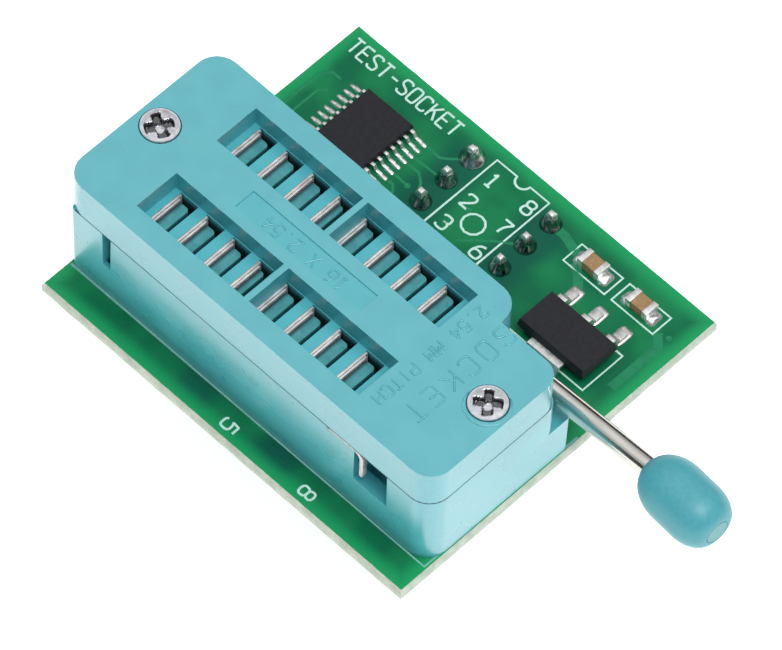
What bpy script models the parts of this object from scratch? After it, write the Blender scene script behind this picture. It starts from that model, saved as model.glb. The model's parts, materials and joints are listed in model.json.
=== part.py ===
"""Test-socket adapter board: a 16-way lever-operated IC socket on a small circuit board that plugs in by
an 8-pin header. Run it with: blender --background --python part.py

Lengths are written in millimetres and scaled by MM. The working datum is the middle of the socket's contact
field on the board's upper face: +X runs along the socket towards the lever, +Y towards the header, +Z up.
The last step moves that datum so that the world origin is the bottom centre of the whole object.
"""

import math

import bmesh
import bpy
from mathutils import Matrix, Vector

MM = 0.001
GAP = 0.03  # clearance between pieces that rest on each other
OVERLAP = 0.05  # how far boxes that are joined reach into each other
OVERRUN = 1.0  # how far a cutter reaches beyond the face that it opens
ARC_STEPS = 6  # segments in a rounded corner
TURNED_SIDES = 24  # sides of the large round pieces

# Circuit board
BOARD_X = (-15.10, 19.35)
BOARD_Y = (-9.75, 21.00)
BOARD_THICK = 1.2
TAIL_HOLE_R = 0.42
PIN_HOLE_R = 0.52
BOARD_EDGE = ((0.0, 0.0), (-0.30, 0.16), (-0.85, 0.13), (-BOARD_THICK, 0.02))  # (z, how far the cut bulges)

# Socket contacts: two rows of eight on a standard 2.54 mm pitch, rows 7.62 mm apart
PITCH = 2.54
CONTACTS_PER_ROW = 8
ROW_Y = (-1.5 * PITCH, 1.5 * PITCH)
SLOT_WIDE = 1.71
SLOT_LONG = 3.70
SHORT_SLOT = 3  # the slot beside the cover's middle rib is cut short
SHORT_SLOT_RIGHT = 0.48
SLIDER_TRAVEL = 0.3
TAIL_LONG = 3.4  # below the board's upper face
TAIL_SECTION = (0.30, 0.50)
BLADE_X = (-0.83, -0.43)  # about the slot's middle
BLADE_Y = (-1.80, 1.74)
BLADE_TOP = 8.92
BLADE_FOOT = 1.25
FOOT_RIGHT = 0.3
FOOT_HALF = 0.6
FOOT_THICK = 0.4
FORK_HALF = 0.05
FORK_DEEP = 0.25
FORK_SETBACK = 0.28  # the right prong's far end stops short by this much

# Socket cover and base
COVER_X = (-15.68, 19.32)
COVER_Y = (-7.38, 7.38)
BASE_LEFT = -14.92  # the cover overhangs the base here
BASE_DRAFT = 0.16  # how far the base's side walls draw in from the seam to the board
BASE_END_DRAFT = 0.05
BASE_CORNER_R = 0.3
CORNER_R = 1.8
SEAM_Z = 7.15
COVER_TOP = 10.62
TROUGH_FLOOR = 8.84
TROUGH_HALF = 1.9
TROUGHS_X = ((-10.25, 0.03), (0.50, 10.90))
ROOM_TOP = 7.95  # ceiling of the space that the slider runs in
ROOM_X = (-11.65, 16.35)
ROOM_HALF = (6.2, 4.0)  # half width beside the contacts, and at the cam
ROOM_STEP_X = 12.9
LABEL_X = (-5.57, 6.25)
LABEL_Y = (-0.99, 0.82)
LABEL_DEEP = 0.12
NOTCH_X = 13.50  # where the far side steps in to clear the lever
NOTCH_Y = 5.25
NOTCH_R = 1.5
LEDGE_Z = 3.95
LEDGE_Y = 6.45
BASE_NOTCH_R = 1.2
WALL_Z = 3.32  # sill of the slit, the panel and the window in the near wall
SLIT_X = (-11.86, -11.18)
SLIT_DEEP = 1.3
SLIT_LIP = 0.45  # wall left in front of the well behind the slit's sill
WELL_FLOOR = 2.0  # of the wells behind the two sills
WELL_INSET = (0.02, 0.1)  # narrower than the slit, and than the window
WINDOW_X = (12.15, 15.35)
WINDOW_DEEP = 1.34
PANEL_DEEP = 0.14  # behind the cover's near face
CHAMBER_X = (-0.95, 0.85)
CHAMBER_HALF = 1.85
CHAMBER_FLOOR = 1.2
CLIP_X = (9.75, 13.06)
CLIP_BEHIND = 0.06  # behind the cover's near face
CLIP_WIDE = 0.45
CLIP_THICK = 0.36
CLIP_LOW = 4.3
CLIP_BEND_R = 0.9
CLIP_TIP_R = 0.17
CLIP_SEAT_X = (9.6, 12.6)
CLIP_SEAT_DEEP = 0.6
CLIP_SEAT_Z = 6.62

# Cover screws
SCREW_X = (-13.79, 17.40)
HEAD_R = 1.45
HEAD_THICK = 0.80
HEAD_PROUD = 0.12
HEAD_ROOM = 0.05
HEAD_EDGE = (0.20, 0.15)  # inward and downward size of the head's bevel
SHANK_R = 0.72
SHANK_ROOM = 0.1
SHANK_END = 3.0
SHANK_TIP = (0.25, 0.5)
RECESS_LONG = 1.05  # from the middle to an arm's end
RECESS_HALF = 0.30
RECESS_DEEP = 0.55
RECESS_TURNS = (1.10, 0.68)

# Lever: one bent rod whose transverse leg is the cam shaft
PIVOT = (14.45, 5.45)  # x and z of the shaft
ROD_R = 0.775
SHAFT_END_Y = -4.3
LEVER_Y = 6.30
BEND_R = 1.6
LEVER_PITCH = 2.9  # degrees above level when closed
KNOB_START = 12.35  # along the lever from the shaft
KNOB_YAW = -3.9  # degrees
KNOB_PITCH = -2.9
KNOB_Z = (-0.2, 6.6)  # ends of the knob along its own axis
KNOB_R = 2.31
KNOB_START_R = 0.41
KNOB_END_R = 0.95
KNOB_ROUNDING = (2.7, 2.2)  # length of the rounded part at each end
KNOB_MOUTH_Z = -0.18
ROD_IN_KNOB = 4.2
BORE_END_ROOM = 0.1
CAM_R = 1.4
CAM_THROW = 0.35
CAM_HALF = 2.5
SHAFT_ROOM = 0.04
BEND_ROOM = 0.45
BEND_ROOM_Y = (4.45, 7.25)
CAM_POCKET_X = (11.2, 16.1)
CAM_POCKET_HALF = 3.3
CAM_POCKET_Z = 2.9
BEARING_Y = -4.4  # near face of the wall that holds the shaft's near end

# Slider
SLIDER_X = (-11.10, 12.35)
SLIDER_HALF = 5.85
SLIDER_Z = (7.25, 7.86)
FINGER_ROOT = 7.26
FINGER_X = (-0.39, 0.52)
FINGER_Y = (-1.80, 1.32)
FINGER_TOP = 8.68
FINGER_CORNER_R = 0.3
PORT_LEFT = -1.20
PORT_RIGHT = 0.80
PUSHER_X = (11.60, 12.65)
PUSHER_HALF = 2.9
PUSHER_Z = 4.0

# Header: two strips of four pins, 7.62 mm apart
HEADER_X = (-1.765, 5.855)
HEADER_TOP_Y = 18.68
PINS_PER_STRIP = 4
PIN_SIDE = 0.64
PIN_TOP = 1.45
PIN_LONG = 6.0  # below the spacer
PIN_POINT = (0.50, 0.45)  # length of the lower point, and its width as a share of the pin's
PIN_CROWN = (0.25, 0.60)
SPACER_TALL = 2.54
SPACER_HALF = 1.25
SPACER_CHAMFER = 0.45

# Surface-mounted parts
SHIFTER = (-8.34, 14.15)
SHIFTER_BODY = (4.4, 6.4)
SHIFTER_RINGS = ((0.08, 0.08), (0.0, 0.48), (0.08, 0.92))  # (how far the body draws in, z)
SHIFTER_REACH = 1.0  # of the leads beyond the body
SHIFTER_PITCH = 0.65
SHIFTER_LEADS = 10
SHIFTER_LEAD = (0.24, 0.14, 0.56, 0.55)  # width, thickness, height at the body, length of the foot
COMB_INSIDE = (0.3, 0.7)  # where the bar that joins a side's leads lies, in from the body's side
REGULATOR_X = 13.3  # the tab and the middle lead
REGULATOR_BODY_X = (10.30, 16.55)
REGULATOR_BODY_Y = (10.65, 14.10)
REGULATOR_RINGS = ((0.40, 0.06), (0.0, 0.95), (0.14, 1.66))
REGULATOR_PITCH = 2.3
REGULATOR_REACH = 1.75  # of the leads beyond the body
REGULATOR_LEAD = (0.76, 0.28, 0.95, 0.95)
TAB_WIDE = 3.0
TAB_INSIDE = 1.2
STRIP_Y = (-1.0, 0.5)  # end of the middle lead's slot, and of the tab's, about the body's middle
LEAD_INSIDE = 0.35
SLOT_ROOM = 0.02  # above and below a lead in its slot
CAPACITORS = ((10.47, 18.11), (15.04, 18.13))
CAPACITOR_SIZE = (2.0, 1.25, 0.95)
CAPACITOR_END = 0.45
CAPACITOR_SKIN = 0.04  # thickness of the metal ends
CAPACITOR_ROOM = 0.01


def clear_scene():
    for obj in list(bpy.data.objects):
        bpy.data.objects.remove(obj, do_unlink=True)


def material(name, color, roughness, metallic=0.0):
    made = bpy.data.materials.new(name)
    made.use_nodes = True
    shader = made.node_tree.nodes["Principled BSDF"]
    shader.inputs["Base Color"].default_value = (*color, 1.0)
    shader.inputs["Roughness"].default_value = roughness
    shader.inputs["Metallic"].default_value = metallic
    made.diffuse_color = (*color, 1.0)
    return made


def link(name, bm, finish=None, parent=None):
    """Makes the bmesh, drawn in millimetres, into a linked object in metres."""
    bmesh.ops.recalc_face_normals(bm, faces=bm.faces)
    bm.transform(Matrix.Scale(MM, 4))
    mesh = bpy.data.meshes.new(name)
    bm.to_mesh(mesh)
    bm.free()
    if finish:
        mesh.materials.append(finish)
    obj = bpy.data.objects.new(name, mesh)
    bpy.context.scene.collection.objects.link(obj)
    obj.parent = parent
    return obj


def rounded(corners, steps=ARC_STEPS):
    """A closed outline from (x, y, radius) corners, each rounded by its radius."""
    points = []
    for i, (x, y, radius) in enumerate(corners):
        corner = Vector((x, y))
        if not radius:
            points.append(corner)
            continue
        before = (Vector(corners[i - 1][:2]) - corner).normalized()
        after = (Vector(corners[(i + 1) % len(corners)][:2]) - corner).normalized()
        half = before.angle(after) / 2
        centre = corner + (before + after).normalized() * radius / math.sin(half)
        start = corner + before * radius / math.tan(half) - centre
        end = corner + after * radius / math.tan(half) - centre
        turn = start.angle_signed(end)
        for step in range(steps + 1):
            angle = turn * step / steps
            points.append(centre + Matrix.Rotation(-angle, 2) @ start)
    return points


def add_prism(bm, outline, low, high):
    """Adds an upright prism over the outline."""
    base = bm.faces.new([bm.verts.new((x, y, low)) for x, y in outline])
    raised = bmesh.ops.extrude_face_region(bm, geom=[base])["geom"]
    verts = [item for item in raised if isinstance(item, bmesh.types.BMVert)]
    bmesh.ops.translate(bm, verts=verts, vec=(0, 0, high - low))


def add_box(bm, x, y, z):
    add_prism(bm, [(x[0], y[0]), (x[1], y[0]), (x[1], y[1]), (x[0], y[1])], *z)


def add_rings(bm, rings):
    """Adds a closed solid through matching rings of points; a ring of one point is a pole."""
    layers = [[bm.verts.new(point) for point in ring] for ring in rings]
    for lower, upper in zip(layers, layers[1:]):
        count = max(len(lower), len(upper))
        for i in range(count):
            j = (i + 1) % count
            quad = [lower[i % len(lower)], lower[j % len(lower)]]
            quad += [upper[j % len(upper)], upper[i % len(upper)]]
            bm.faces.new(list(dict.fromkeys(quad)))
    for layer in (layers[0], layers[-1]):
        if len(layer) > 2:
            bm.faces.new(layer)


def circle(radius, sides, z=0.0):
    if not radius:
        return [(0.0, 0.0, z)]
    turns = [2 * math.pi * i / sides for i in range(sides)]
    return [(radius * math.cos(turn), radius * math.sin(turn), z) for turn in turns]


def add_turned(bm, profile, sides, place):
    """Adds a solid turned about Z from (radius, z) points, then placed by the matrix."""
    add_rings(bm, [[place @ Vector(point) for point in circle(r, sides, z)] for r, z in profile])


def solid(name, boxes, finish=None, parent=None):
    bm = bmesh.new()
    for box in boxes:
        add_box(bm, *box)
    return link(name, bm, finish, parent)


def prism(name, outline, low, high, finish=None, parent=None):
    bm = bmesh.new()
    add_prism(bm, outline, low, high)
    return link(name, bm, finish, parent)


def combine(target, helper, operation="DIFFERENCE"):
    """Cuts or joins the helper, which stays in the file as a hidden guide."""
    helper.hide_render = True
    helper.display_type = "WIRE"
    helper.parent = target.parent
    modifier = target.modifiers.new(helper.name, "BOOLEAN")
    modifier.operation = operation
    modifier.solver = "EXACT"
    modifier.object = helper


def apply_modifiers(obj):
    """Replaces the object's mesh by its evaluated one, so that copies can share it."""
    bpy.context.view_layer.update()
    evaluated = obj.evaluated_get(bpy.context.evaluated_depsgraph_get())
    mesh = bpy.data.meshes.new_from_object(evaluated)
    helpers = [modifier.object for modifier in obj.modifiers]
    obj.modifiers.clear()
    obj.data = mesh
    for helper in helpers:
        bpy.data.objects.remove(helper, do_unlink=True)


def smooth(obj, degrees=35):
    obj.data.shade_smooth()
    obj.data.set_sharp_from_angle(angle=math.radians(degrees))


def slot_centres():
    """(index, x, y) of each contact place, the near row first."""
    for row, y in enumerate(ROW_Y):
        for column in range(CONTACTS_PER_ROW):
            x = (column - (CONTACTS_PER_ROW - 1) / 2) * PITCH
            yield row * CONTACTS_PER_ROW + column, x, y


def about(x, span):
    return x + span[0], x + span[1]


def both(middle, half):
    return middle - half, middle + half


def inside(span, inset):
    return span[0] + inset, span[1] - inset


def header_pins():
    """(number, x, y): pins 1 to 4 go down the left strip and 5 to 8 come back up the right one."""
    for number in range(1, 2 * PINS_PER_STRIP + 1):
        down = number <= PINS_PER_STRIP
        row = number - 1 if down else 2 * PINS_PER_STRIP - number
        yield number, HEADER_X[0 if down else 1], HEADER_TOP_Y - row * PITCH


def socket_outline(x, y, left_r, notch_y, notch_r):
    return rounded([
        (x[0], y[0], left_r),
        (x[1], y[0], CORNER_R),
        (x[1], notch_y, notch_r),
        (NOTCH_X, notch_y, 0),
        (NOTCH_X, y[1], CORNER_R),
        (x[0], y[1], left_r),
    ])


def circuit_board(finish, datum):
    bm = bmesh.new()
    rings = []
    for z, out in BOARD_EDGE:
        left, right = BOARD_X[0] - out, BOARD_X[1] + out
        near, far = BOARD_Y[0] - out, BOARD_Y[1] + out
        rings.append([(left, near, z), (right, near, z), (right, far, z), (left, far, z)])
    add_rings(bm, rings)
    board = link("circuit_board", bm, finish, datum)
    drills = bmesh.new()
    holes = [(x, y, TAIL_HOLE_R) for _, x, y in slot_centres()]
    holes += [(x, y, PIN_HOLE_R) for _, x, y in header_pins()]
    for x, y, radius in holes:
        profile = [(radius, -BOARD_THICK - OVERRUN), (radius, OVERRUN)]
        add_turned(drills, profile, 8, Matrix.Translation((x, y, 0)))
    combine(board, link("board_drills", drills))


def socket_base(finish, datum):
    wall, right, above = COVER_Y[0], COVER_X[1], SEAM_Z + OVERRUN
    outside = (wall - OVERRUN, right + OVERRUN, COVER_Y[1] + OVERRUN)
    rings = []
    for end_draft, side_draft, z in ((BASE_END_DRAFT, BASE_DRAFT, GAP), (0, 0, SEAM_Z)):
        ends = (BASE_LEFT + end_draft, right - end_draft)
        sides = (wall + side_draft, COVER_Y[1] - side_draft)
        outline = socket_outline(ends, sides, BASE_CORNER_R, LEDGE_Y, BASE_CORNER_R)
        rings.append([(x, y, z) for x, y in outline])
    bm = bmesh.new()
    add_rings(bm, rings)
    base = link("socket_base", bm, finish, datum)
    step_start = NOTCH_Y - BASE_NOTCH_R - OVERLAP
    step = rounded([
        (NOTCH_X, outside[2], 0), (NOTCH_X, NOTCH_Y, 0), (right, NOTCH_Y, BASE_NOTCH_R),
        (right, step_start, 0), (outside[1], step_start, 0), (outside[1], outside[2], 0),
    ])
    combine(base, prism("ledge_step", step, LEDGE_Z, above))
    combine(base, solid("contact_chambers", [
        (about(x, CHAMBER_X), both(y, CHAMBER_HALF), (CHAMBER_FLOOR, above)) for _, x, y in slot_centres()
    ]))
    combine(base, solid("tail_holes", [
        (both(x, TAIL_SECTION[0] / 2 + GAP), both(y, TAIL_SECTION[1] / 2 + GAP),
         (-OVERRUN, CHAMBER_FLOOR + OVERLAP))
        for _, x, y in slot_centres()
    ]))
    combine(base, solid("cam_pocket", [(CAM_POCKET_X, both(0, CAM_POCKET_HALF), (CAM_POCKET_Z, above))]))
    shaft, bend = ROD_R + SHAFT_ROOM, ROD_R + BEND_ROOM
    combine(base, solid("shaft_channel", [
        (both(PIVOT[0], shaft), (BEARING_Y + OVERLAP, NOTCH_Y + OVERRUN), (PIVOT[1] - shaft, above))
    ]))
    combine(base, solid("bend_clearance", [(both(PIVOT[0], bend), BEND_ROOM_Y, (PIVOT[1] - bend, above))]))
    window_back = wall + WINDOW_DEEP
    combine(base, solid("shaft_window", [(WINDOW_X, (outside[0], window_back), (WALL_Z, above))]))
    combine(base, solid("window_well", [
        (inside(WINDOW_X, WELL_INSET[1]), (window_back - OVERLAP, BEARING_Y), (WELL_FLOOR, above))
    ]))
    combine(base, solid("clip_seat", [
        (CLIP_SEAT_X, (outside[0], wall + CLIP_SEAT_DEEP), (CLIP_SEAT_Z, above))
    ]))
    combine(base, solid("side_slit", [(SLIT_X, (outside[0], wall + SLIT_DEEP), (WALL_Z, above))]))
    combine(base, solid("slit_well", [
        (inside(SLIT_X, WELL_INSET[0]), (wall + SLIT_LIP, wall + SLIT_DEEP - WELL_INSET[0]),
         (WELL_FLOOR, WALL_Z + OVERLAP))
    ]))
    combine(base, solid("side_panel", [
        ((SLIT_X[1] - OVERLAP, WINDOW_X[0] + OVERLAP), (outside[0], wall + PANEL_DEEP), (WALL_Z, above))
    ]))
    bores = bmesh.new()
    bore = SHANK_R + GAP
    for x in SCREW_X:
        add_turned(bores, [(bore, SHANK_END - SHANK_ROOM), (bore, above)], 12, Matrix.Translation((x, 0, 0)))
    combine(base, link("base_screw_bores", bores))


def socket_cover(finish, datum):
    outline = socket_outline(COVER_X, COVER_Y, CORNER_R, NOTCH_Y, NOTCH_R)
    cover = prism("socket_cover", outline, SEAM_Z + GAP, COVER_TOP, finish, datum)
    below, above = SEAM_Z - OVERRUN, COVER_TOP + OVERRUN
    wide, narrow = ROOM_HALF
    room = [(ROOM_X[0], -wide), (ROOM_STEP_X, -wide), (ROOM_STEP_X, -narrow), (ROOM_X[1], -narrow),
            (ROOM_X[1], narrow), (ROOM_STEP_X, narrow), (ROOM_STEP_X, wide), (ROOM_X[0], wide)]
    combine(cover, prism("slider_room", room, below, ROOM_TOP))
    combine(cover, solid("contact_troughs", [
        (span, both(y, TROUGH_HALF), (TROUGH_FLOOR, above)) for y in ROW_Y for span in TROUGHS_X
    ]))
    slots = []
    for index, x, y in slot_centres():
        short = index % CONTACTS_PER_ROW == SHORT_SLOT
        right = SHORT_SLOT_RIGHT if short else SLOT_WIDE / 2
        depth = (ROOM_TOP - OVERLAP, TROUGH_FLOOR + OVERLAP)
        slots.append(((x - SLOT_WIDE / 2, x + right), both(y, SLOT_LONG / 2), depth))
    combine(cover, solid("cover_slots", slots))
    combine(cover, solid("label_recess", [(LABEL_X, LABEL_Y, (COVER_TOP - LABEL_DEEP, above))]))
    bores = bmesh.new()
    seat = COVER_TOP + HEAD_PROUD - HEAD_THICK - GAP
    shank, head = SHANK_R + SHANK_ROOM, HEAD_R + HEAD_ROOM
    for x in SCREW_X:
        add_turned(bores, [(shank, below), (shank, seat), (head, seat), (head, above)], TURNED_SIDES,
                   Matrix.Translation((x, 0, 0)))
    combine(cover, link("cover_screw_bores", bores))


def contact_slider(finish, datum):
    slider = solid("contact_slider", [(SLIDER_X, both(0, SLIDER_HALF), SLIDER_Z)], finish, datum)
    combine(slider, solid("cam_pusher", [
        (PUSHER_X, both(0, PUSHER_HALF), (PUSHER_Z, SLIDER_Z[1] - OVERLAP))
    ]), "UNION")
    ports, fingers = bmesh.new(), bmesh.new()
    for index, x, y in slot_centres():
        short = index % CONTACTS_PER_ROW == SHORT_SLOT
        near, far = both(y, CHAMBER_HALF)
        left, end = x + FINGER_X[0], y + FINGER_Y[1]
        right = x + (SHORT_SLOT_RIGHT - SLIDER_TRAVEL - GAP if short else FINGER_X[1])
        add_prism(ports, [
            (x + PORT_LEFT, near), (left, near), (left, end + OVERLAP), (right, end + OVERLAP), (right, near),
            (x + PORT_RIGHT, near), (x + PORT_RIGHT, far), (x + PORT_LEFT, far),
        ], SLIDER_Z[0] - OVERRUN, SLIDER_Z[1] + OVERRUN)
        start = y + FINGER_Y[0]
        tab = rounded([(left, start, 0), (right, start, 0), (right, end, FINGER_CORNER_R), (left, end, 0)])
        add_prism(fingers, tab, FINGER_ROOT, FINGER_TOP)
    combine(slider, link("slider_ports", ports))
    combine(slider, link("slider_fingers", fingers), "UNION")


def contacts(finish, datum):
    """Sixteen contacts that share one mesh: a forked blade on a foot, with a tail through base and board."""
    first = None
    for index, x, y in slot_centres():
        if first is None:
            first = solid("contact_01", [(BLADE_X, BLADE_Y, (BLADE_FOOT, BLADE_TOP))], finish)
            combine(first, solid("contact_foot", [
                ((BLADE_X[0] + OVERLAP, FOOT_RIGHT), both(0, FOOT_HALF),
                 (CHAMBER_FLOOR + GAP, BLADE_FOOT + FOOT_THICK))
            ]), "UNION")
            combine(first, solid("contact_tail", [
                (both(0, TAIL_SECTION[0] / 2), both(0, TAIL_SECTION[1] / 2),
                 (-TAIL_LONG, BLADE_FOOT + OVERLAP))
            ]), "UNION")
            groove = both((BLADE_X[0] + BLADE_X[1]) / 2, FORK_HALF)
            above = BLADE_TOP + OVERRUN
            combine(first, solid("contact_fork", [
                (groove, (BLADE_Y[0] - OVERRUN, BLADE_Y[1] + OVERRUN), (BLADE_TOP - FORK_DEEP, above))
            ]))
            combine(first, solid("contact_notch", [
                ((groove[0], BLADE_X[1] + OVERRUN), (BLADE_Y[1] - FORK_SETBACK, BLADE_Y[1] + OVERRUN),
                 (SLIDER_Z[1], above))
            ]))
            apply_modifiers(first)
            contact = first
        else:
            contact = bpy.data.objects.new(f"contact_{index + 1:02d}", first.data)
            bpy.context.scene.collection.objects.link(contact)
        contact.parent = datum
        contact.location = Vector((x, y, 0)) * MM


def cover_screws(finish, datum):
    top = COVER_TOP + HEAD_PROUD
    edge_in, edge_down = HEAD_EDGE
    tip_in, tip_long = SHANK_TIP
    profile = [(SHANK_R - tip_in, SHANK_END), (SHANK_R, SHANK_END + tip_long), (SHANK_R, top - HEAD_THICK),
               (HEAD_R, top - HEAD_THICK), (HEAD_R, top - edge_down), (HEAD_R - edge_in, top)]
    for name, x, turn in zip(("cover_screw_left", "cover_screw_right"), SCREW_X, RECESS_TURNS):
        bm = bmesh.new()
        add_turned(bm, profile, TURNED_SIDES, Matrix.Translation((x, 0, 0)))
        screw = link(name, bm, finish, datum)
        for arm, angle in (("long", turn), ("cross", turn + math.pi / 2)):
            slot = solid(f"{name}_recess_{arm}", [
                (both(0, RECESS_LONG), both(0, RECESS_HALF), (top - RECESS_DEEP, top + OVERRUN))
            ])
            slot.data.transform(Matrix.Translation((x * MM, 0, 0)) @ Matrix.Rotation(angle, 4, "Z"))
            combine(screw, slot)
        smooth(screw)


def swept(bm, path, radius, sides):
    """Adds a round bar along a path, its rings square to the path."""
    rings = []
    across = Vector((0, 0, 1))
    for i, point in enumerate(path):
        ahead = (path[min(i + 1, len(path) - 1)] - path[max(i - 1, 0)]).normalized()
        across = (across - ahead * across.dot(ahead)).normalized()
        side = ahead.cross(across)
        rings.append([
            point + (across * math.cos(turn) + side * math.sin(turn)) * radius
            for turn in (2 * math.pi * k / sides for k in range(sides))
        ])
    add_rings(bm, rings)


def knob_axis():
    """Start and direction of the knob in the lever's own frame, whose X runs along the closed rod."""
    start = Vector((KNOB_START, LEVER_Y, 0))
    yaw, pitch = math.radians(KNOB_YAW), math.radians(KNOB_PITCH)
    return start, Vector((math.cos(yaw) * math.cos(pitch), math.sin(yaw), math.sin(pitch))).normalized()


def lever(metal, plastic, datum):
    pivot = bpy.data.objects.new("lever_pivot", None)
    bpy.context.scene.collection.objects.link(pivot)
    pivot.parent = datum
    pivot.location = Vector((PIVOT[0], 0, PIVOT[1])) * MM
    pivot.rotation_euler = (0, -math.radians(LEVER_PITCH), 0)

    start, along = knob_axis()
    bend = [
        Vector((BEND_R - BEND_R * math.cos(turn), LEVER_Y - BEND_R + BEND_R * math.sin(turn), 0))
        for turn in (math.pi / 2 * k / ARC_STEPS for k in range(ARC_STEPS + 1))
    ]
    path = [Vector((0, SHAFT_END_Y, 0)), *bend, start, start + along * ROD_IN_KNOB]
    bm = bmesh.new()
    swept(bm, path, ROD_R, 16)
    rod = link("lever_rod", bm, metal, pivot)
    cam = bmesh.new()
    angle = math.radians(LEVER_PITCH)
    lift = Vector((-CAM_THROW * math.cos(angle), 0, -CAM_THROW * math.sin(angle)))
    add_turned(cam, [(CAM_R, -CAM_HALF), (CAM_R, CAM_HALF)], TURNED_SIDES,
               Matrix.Translation(lift) @ Matrix.Rotation(-math.pi / 2, 4, "X"))
    combine(rod, link("cam_lobe", cam), "UNION")
    smooth(rod)

    bm = bmesh.new()
    place = Matrix.Translation(start) @ along.to_track_quat("Z", "Y").to_matrix().to_4x4()
    add_turned(bm, knob_profile(), TURNED_SIDES, place)
    smooth(link("lever_knob", bm, plastic, pivot))


def knob_profile():
    """(radius, z) points of the barrel-shaped knob, from the bottom of its bore round to its flat end."""
    bore = ROD_R + GAP
    near, far = KNOB_Z[0] + KNOB_ROUNDING[0], KNOB_Z[1] - KNOB_ROUNDING[1]
    bore_end = ROD_IN_KNOB + BORE_END_ROOM
    profile = [(0, bore_end), (bore, bore_end), (bore, KNOB_MOUTH_Z)]
    turns = [math.pi / 2 * step / ARC_STEPS for step in range(ARC_STEPS + 1)]
    for turn in turns[1:]:
        radius = KNOB_START_R + (KNOB_R - KNOB_START_R) * math.sin(turn)
        profile.append((radius, near - KNOB_ROUNDING[0] * math.cos(turn)))
    for turn in turns:
        radius = KNOB_END_R + (KNOB_R - KNOB_END_R) * math.cos(turn)
        profile.append((radius, far + KNOB_ROUNDING[1] * math.sin(turn)))
    return [*profile, (0, KNOB_Z[1])]


def shaft_clip(finish, datum):
    """The bent strip that holds the cam shaft down, seen in the base's side window."""
    left, right = CLIP_X
    wall, top = COVER_Y[0] + CLIP_BEHIND, SEAM_Z - GAP
    inner = CLIP_BEND_R - CLIP_THICK
    outline = rounded([
        (left, top, 0), (right, top, CLIP_BEND_R), (right, CLIP_LOW, CLIP_TIP_R),
        (right - CLIP_THICK, CLIP_LOW, CLIP_TIP_R), (right - CLIP_THICK, top - CLIP_THICK, inner),
        (left, top - CLIP_THICK, 0),
    ])
    bm = bmesh.new()
    add_prism(bm, [(x, -z) for x, z in outline], wall, wall + CLIP_WIDE)
    bm.transform(Matrix.Rotation(-math.pi / 2, 4, "X"))
    link("shaft_clip", bm, finish, datum)


def header(plastic, metal, datum):
    top = -BOARD_THICK - GAP
    low = top - SPACER_TALL
    for name, x in zip(("header_spacer_left", "header_spacer_right"), HEADER_X):
        inner, outer = SPACER_HALF - SPACER_CHAMFER, SPACER_HALF
        rows = [HEADER_TOP_Y - row * PITCH for row in range(PINS_PER_STRIP)]
        side = []
        for middle in reversed(rows):
            near, far = both(middle, PITCH / 2)
            side += [(inner, near), (outer, near + SPACER_CHAMFER), (outer, far - SPACER_CHAMFER)]
        side.append((inner, HEADER_TOP_Y + PITCH / 2))
        outline = [(x + dx, y) for dx, y in side] + [(x - dx, y) for dx, y in reversed(side)]
        spacer = prism(name, outline, low, top, plastic, datum)
        half = PIN_SIDE / 2 + GAP
        combine(spacer, solid(name + "_bores", [
            (both(x, half), both(y, half), (low - OVERRUN, top + OVERRUN)) for y in rows
        ]))
    bottom, half = low - PIN_LONG, PIN_SIDE / 2
    levels = [
        (half * PIN_POINT[1], bottom), (half, bottom + PIN_POINT[0]),
        (half, PIN_TOP - PIN_CROWN[0]), (half * PIN_CROWN[1], PIN_TOP),
    ]
    bm = bmesh.new()
    add_rings(bm, [[(-r, -r, z), (r, -r, z), (r, r, z), (-r, r, z)] for r, z in levels])
    shared = None
    for number, x, y in header_pins():
        if shared is None:
            pin = link(f"header_pin_{number}", bm, metal, datum)
            shared = pin.data
        else:
            pin = bpy.data.objects.new(f"header_pin_{number}", shared)
            bpy.context.scene.collection.objects.link(pin)
            pin.parent = datum
        pin.location = Vector((x, y, 0)) * MM


def header(plastic, metal, datum):
    low = -BOARD_THICK - GAP
    for name, x in zip(("header_spacer_left", "header_spacer_right"), HEADER_X):
        side = []
        for row in range(PINS_PER_STRIP):
            middle = HEADER_TOP_Y - (PINS_PER_STRIP - 1 - row) * PITCH
            inner, outer = SPACER_HALF - SPACER_CHAMFER, SPACER_HALF
            near, far = middle - PITCH / 2, middle + PITCH / 2
            side += [(inner, near), (outer, near + SPACER_CHAMFER), (outer, far - SPACER_CHAMFER)]
        side.append((SPACER_HALF - SPACER_CHAMFER, HEADER_TOP_Y + PITCH / 2))
        outline = [(x + dx, y) for dx, y in side] + [(x - dx, y) for dx, y in reversed(side)]
        spacer = prism(name, outline, low - SPACER_TALL, low, plastic, datum)
        bores = [
            (both(x, PIN_SIDE / 2 + GAP), both(HEADER_TOP_Y - row * PITCH, PIN_SIDE / 2 + GAP),
             (low - SPACER_TALL - 1, low + 1))
            for row in range(PINS_PER_STRIP)
        ]
        combine(spacer, solid(name + "_bores", bores))
    bottom, tip, half = low - SPACER_TALL - PIN_LONG, 0.5, PIN_SIDE / 2
    bm = bmesh.new()
    levels = [(half * 0.45, bottom), (half, bottom + tip), (half, PIN_TOP - tip / 2), (half * 0.6, PIN_TOP)]
    add_rings(bm, [[(-r, -r, z), (r, -r, z), (r, r, z), (-r, r, z)] for r, z in levels])
    shared = None
    for number, x, y in header_pins():
        if shared is None:
            pin = link(f"header_pin_{number}", bm, metal, datum)
            shared = pin.data
        else:
            pin = bpy.data.objects.new(f"header_pin_{number}", shared)
            bpy.context.scene.collection.objects.link(pin)
            pin.parent = datum
        pin.location = Vector((x, y, 0)) * MM


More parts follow.
